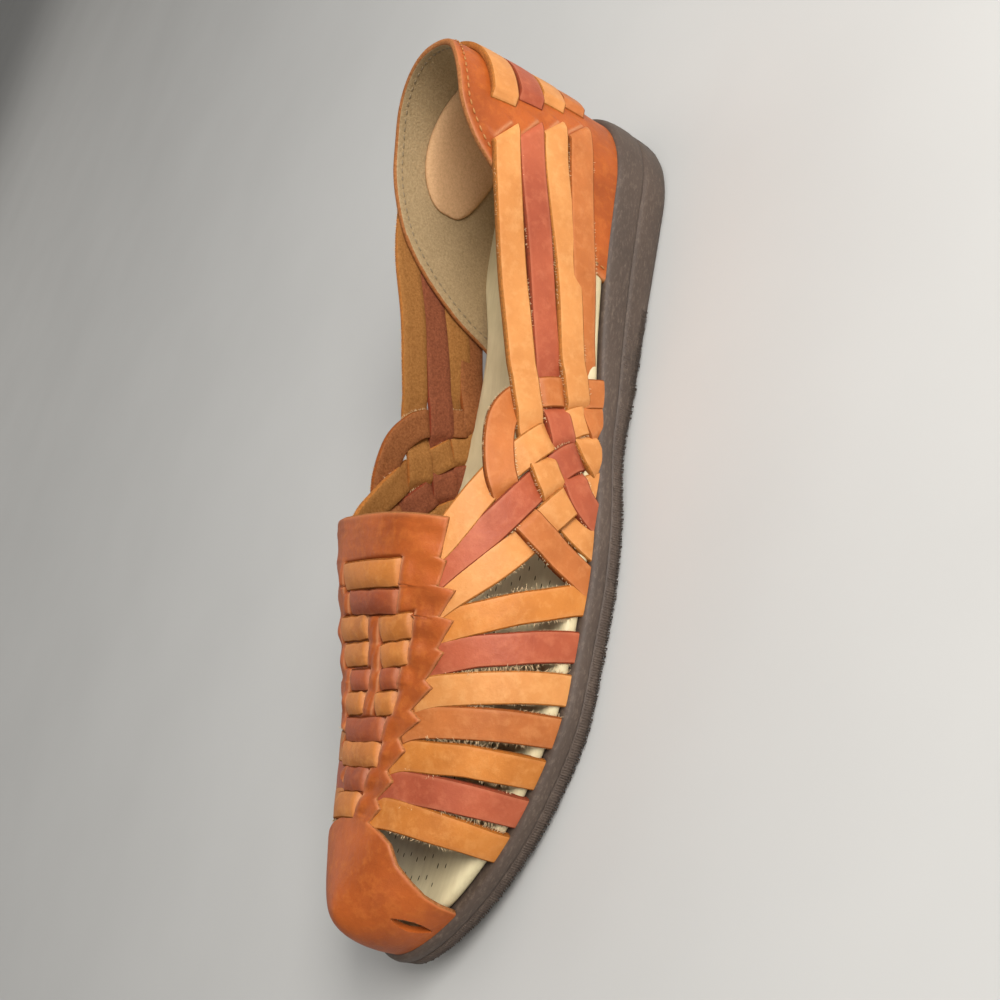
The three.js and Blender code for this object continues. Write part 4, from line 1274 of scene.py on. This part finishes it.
def make_vamp():
    even = np.arange(VAMP["throat"], VAMP["even_until"], VAMP["step"])
    round_toe = station_at(np.linspace(turn_at(VAMP["even_until"]), np.pi, VAMP["toe_columns"]))
    xs = np.r_[even, round_toe]
    low = np.interp(xs, *zip(*VAMP_EDGE))
    girth = girth_at(xs)
    share = eased(VAMP["rows"], VAMP["crowding"])
    across = low[:, None] + (girth - 2 * low)[:, None] * share[None]
    x = np.repeat(xs[:, None], len(share), 1)
    outer_half = across <= girth[:, None] / 2
    turn = np.where(outer_half, 1, -1) * turn_at(x)
    up = np.where(outer_half, across, girth[:, None] - across)
    slope = np.gradient(low, xs)
    steep = np.minimum(np.abs(slope), VAMP["steepest"])
    from_side = (up - low[:, None]) / np.sqrt(1 + steep**2)[:, None]
    from_throat = x - VAMP["throat"]
    dip, worn, rail = vamp_weave_marks(x, across)
    half = WALL / 2 * rounding(np.minimum(from_side, from_throat), VAMP["round"])
    slit_zone = x < VAMP["slits_until"]
    worn_slit = 0.55 * np.exp(-(from_side / 0.55) ** 2) * slit_zone
    worn_cap = 0.4 * np.exp(-(from_side / 0.5) ** 2) * ~slit_zone
    worn_throat = 0.35 * np.exp(-from_throat**2)
    worn = np.maximum(np.maximum(worn_slit + worn_cap, 0.8 * worn), worn_throat)
    buckle = 0.3 * np.sin(x * 0.78 + across * 0.12) * np.exp(-((from_side - 3) / 5) ** 2) * slit_zone
    crease = 0.05 * np.sin(from_throat * 2.4 + np.sin(across * 0.5)) * np.exp(-((from_throat - 3) / 4) ** 2)
    middle = VAMP["middle"] - VAMP["dip"] * dip + VAMP["rail"] * rail + buckle + crease
    flesh = flesh_leather("vamp flesh", "AB7A4C", "85582F")
    return panel("vamp_toe_cap", turn, up, middle, half, [orange, flesh, orange_cut],
                 worn=np.clip(worn, 0, 1), shade=0.5 * dip)


vamp = make_vamp()

TOE_SLIT = {
    "x": 239.0, "centre_up": 7.4, "half_long": 5.8, "half_wide": 1.5, "tip": 0.1, "reach": 6.0, "points": 12,
}


def toe_slit_cutter(side):
    """A pointed lens standing through the toe cap."""
    turn = side * turn_at(TOE_SLIT["x"])
    at = TOE_SLIT["centre_up"]
    middle = skin_point(turn, at)
    normal = skin_normal(turn, at)
    upward = unit(skin_point(turn, at + 1) - skin_point(turn, at - 1))
    aside = unit(np.cross(upward, normal))
    t = np.linspace(-1, 1, TOE_SLIT["points"] + 1)[:, None]
    edge = TOE_SLIT["tip"] + TOE_SLIT["half_wide"] * (1 - t**2)
    spine = middle + upward * (TOE_SLIT["half_long"] * t)
    lens = np.concatenate([spine + aside * edge, (spine - aside * edge)[::-1]])
    count = len(lens)
    points = np.concatenate([lens + normal * TOE_SLIT["reach"], lens - normal * TOE_SLIT["reach"]])
    i = np.arange(count)
    sides = np.stack([i, i + count, (i + 1) % count + count, (i + 1) % count], 1).tolist()
    ends = [list(range(count)), list(range(2 * count - 1, count - 1, -1))]
    cutter = closed_up(mesh_piece("toe_slit_cutter", points, sides + ends, []))
    cutter.data.shade_flat()
    return cutter


def cut_through(piece, cutter):
    """Cuts one piece with another and removes the cutter."""
    modifier = piece.modifiers.new("cut", "BOOLEAN")
    modifier.operation = "DIFFERENCE"
    modifier.solver = "EXACT"
    modifier.object = cutter
    result = bpy.data.meshes.new_from_object(piece.evaluated_get(bpy.context.evaluated_depsgraph_get()))
    piece.modifiers.remove(modifier)
    piece.data = result
    bpy.data.objects.remove(cutter)


for side in (1, -1):
    cut_through(vamp, toe_slit_cutter(side))
dress(vamp)

# ---------------------------------------------------------------- pieces woven through the vamp
# Short lengths of tan and brown strap leather that show between the vamp's slits. Each is
# pushed through from below and tucked in at both ends.
TUCK = {"over": 0.8, "run": 1.8, "thick": 1.4, "spacing": 0.5, "worn": 0.5, "crown": 0.95}


def tucked(total, half_wide):
    """A woven piece's lift: sunk at both ends and crowned between them."""
    def lift(s, a):
        rise = np.clip(np.minimum(s, total - s) / TUCK["run"], 0, 1)
        swell = np.sqrt(np.clip(np.sin(np.pi * s / total), 0, 1))
        crown = TUCK["crown"] * (1 - (a / half_wide) ** 2) * swell
        return 0.1 + 1.2 * rise * (2 - rise) - 0.9 * (1 - rise) + crown
    return lift


for number, (dye, x_outer, outer, x_inner, inner, width) in enumerate(VAMP_WEAVE, 1):
    route = [
        (float(turn_at(x_outer)), outer - TUCK["over"]),
        (float(turn_at((x_outer + x_inner) / 2)), (outer + inner) / 2),
        (float(turn_at(x_inner)), inner + TUCK["over"]),
    ]
    length = route_samples(route, TUCK["spacing"])[2][-1]
    strap(f"vamp_weave_{number}", route, dye, tucked(length, width / 2), width=width, thick=TUCK["thick"],
          worn_ends=(TUCK["worn"], TUCK["worn"]), spacing=TUCK["spacing"])

# ---------------------------------------------------------------- heel pad
# A soft beige pad glued inside the back of the counter, rounded at its lower corners.
PAD = {
    "half_turn": 0.76, "low": 8.0, "high": 37.0, "thick": 3.0, "clear": 0.15, "columns": 70, "rows": 60,
    "end": 0.12, "roundness": 3.6, "edge": 0.15,
}


def make_pad():
    across = np.sin(np.linspace(-np.pi / 2, np.pi / 2, PAD["columns"]))
    down = np.sin(np.linspace(-np.pi / 2, np.pi / 2, PAD["rows"]))
    u, v = np.meshgrid(across, down, indexing="ij")
    tall = PAD["end"] + (1 - PAD["end"]) * np.sqrt(np.clip(1 - np.abs(u) ** PAD["roundness"], 0, 1))
    up = (PAD["low"] + PAD["high"]) / 2 + (PAD["high"] - PAD["low"]) / 2 * tall * v
    turn = PAD["half_turn"] * u
    puff = np.clip(1 - np.abs(u) ** 5, 0, 1) ** 0.5 * np.clip(1 - np.abs(v) ** 6, 0, 1) ** 0.5
    thick = PAD["thick"] * (PAD["edge"] + (1 - PAD["edge"]) * puff)
    back = -WALL - PAD["clear"]
    soft = flesh_leather("soft pad leather", "E2B78A", "CB9F72")
    return panel("heel_pad_cushion", turn, up, back - thick / 2, thick / 2, [soft, soft, soft])


pad = make_pad()
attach(pad, "root")
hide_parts("heel_pad")

# ---------------------------------------------------------------- frayed fibres
# Pale fibres of the hide that stand out of the straps' cut edges, in short runs. They are
# longest on the forefoot straps, and the heel bands and the vamp's woven pieces have none.
FRAY = {
    "spacing": 0.38, "long": 1.7, "wide": 0.24, "swing": 0.85, "ends": 3.0, "inset": 0.1, "below": 0.55,
    "outward": 0.2, "run": (5, 16), "rarity": 1.5, "least": 0.12, "shortest": 0.35, "elsewhere": 0.3,
}


def unit_fibre(tree):
    """A tapered bristle one unit tall, standing on its base."""
    cone = tree.nodes.new("GeometryNodeMeshCone")
    cone.inputs["Vertices"].default_value = 4
    cone.inputs["Radius Top"].default_value = 0.15
    cone.inputs["Radius Bottom"].default_value = 0.5
    cone.inputs["Depth"].default_value = 1.0
    return cone.outputs["Mesh"]


fibre_tree = along_path_tree("fibres along a path", unit_fibre)
fray_random = np.random.default_rng(23)


def fray_paths():
    """Runs of fibres along the straps' edges: points, facing and size."""
    for piece, centre, across, normal, stand, width, along in strap_edges:
        if piece.startswith(("heel_band", "vamp_weave")):
            continue
        amount = 1.0 if piece.startswith("forefoot") else FRAY["elsewhere"]
        for edge in (1, -1):
            aside = across * (edge * (width / 2 - FRAY["inset"]))
            roots = centre + aside + normal * (stand[:, None] - FRAY["below"])
            start = 0
            while start < len(along) - 6:
                run = int(fray_random.integers(*FRAY["run"]))
                strength = fray_random.uniform(0, 1) ** FRAY["rarity"] * amount
                stop = min(start + run, len(along))
                inside = along[start] > FRAY["ends"] and along[stop - 1] < along[-1] - FRAY["ends"]
                if inside and strength > FRAY["least"] and stop - start > 3:
                    tall = FRAY["long"] * (FRAY["shortest"] + strength)
                    facing = across[start:stop] * edge + normal[start:stop] * FRAY["outward"]
                    yield roots[start:stop], facing, (FRAY["wide"], FRAY["wide"], tall)
                start = stop


fray = along_paths(
    "frayed_fibres", fibre_tree, list(fray_paths()), thread_finish("pale fibre", "F0DAB4", "D3AD78"),
    spacing=FRAY["spacing"], scatter=0.3, swing=FRAY["swing"], size_change=0.7, seed=13,
)
dress(fray)

# ---------------------------------------------------------------- floor, light and camera
# A pale floor, soft studio light from above and both sides, and a camera over the outer side of
# the forefoot with the toe towards the bottom of the frame.
floor_mesh = bpy.data.meshes.new("studio_floor")
FLOOR_HALF = 3.0
floor_corners = [(x * FLOOR_HALF, y * FLOOR_HALF, 0) for x, y in ((-1, -1), (1, -1), (1, 1), (-1, 1))]
floor_mesh.from_pydata(floor_corners, [], [(0, 1, 2, 3)])
floor = bpy.data.objects.new("studio_floor", floor_mesh)
bpy.context.scene.collection.objects.link(floor)
floor_finish = Finish("pale floor", "C9C9C7", 0.8, specular=0.2)
floor_finish.tint(floor_finish.blend(floor_finish.noise(0.01), "CCCCCA", "C2C2C0"))
floor_mesh.materials.append(floor_finish.material)

world = bpy.data.worlds.new("studio")
world.use_nodes = True
world.node_tree.nodes["Background"].inputs["Color"].default_value = (1.0, 0.98, 0.95, 1.0)
world.node_tree.nodes["Background"].inputs["Strength"].default_value = 0.20
bpy.context.scene.world = world
bpy.context.scene.view_settings.view_transform = "Standard"


def soft_light(name, where, at, size, power, tint=(1.0, 0.97, 0.93)):
    light = bpy.data.lights.new(name, "AREA")
    light.shape = "RECTANGLE"
    light.size, light.size_y = size
    light.energy = power
    light.color = tint
    lamp = bpy.data.objects.new(name, light)
    bpy.context.scene.collection.objects.link(lamp)
    lamp.location = where
    lamp.rotation_euler = (Vector(at) - Vector(where)).to_track_quat("-Z", "Y").to_euler()


soft_light("key_light", (-0.22, 0.62, 0.50), (-0.02, 0, 0.02), (0.45, 0.3), 7.2)
soft_light("fill_light", (-0.5, 0.25, 0.7), (0, 0, 0.03), (0.8, 0.8), 1.8, (0.97, 0.98, 1.0))
soft_light("inner_light", (0.0, -1.3, 0.73), (0, 0, 0.02), (1.46, 0.65), 4.2)
soft_light("front_light", (0.45, 0.5, 0.6), (0.05, 0, 0.0), (0.6, 0.5), 1.1)

# Camera: where it stands in millimetres from the heel's back, what it looks at, its roll, and
# its lens on a 36 mm frame.
CAMERA = {"eye": (212.0, 280.3, 199.8), "aim": (126.1, 14.1, 25.0), "roll": -67.8, "lens": 44.4}
eye, aim = (Vector(place([CAMERA[key]])[0]) for key in ("eye", "aim"))
level = (aim - eye).to_track_quat("-Z", "Y").to_matrix()
rolled = level @ Matrix.Rotation(math.radians(CAMERA["roll"]), 3, "Z")
camera_data = bpy.data.cameras.new("camera")
camera_data.lens = CAMERA["lens"]
camera_data.sensor_width = 36.0
camera_data.clip_start = 0.01
camera = bpy.data.objects.new("camera", camera_data)
camera.matrix_world = Matrix.Translation(eye) @ rolled.to_4x4()
bpy.context.scene.collection.objects.link(camera)
bpy.context.scene.camera = camera
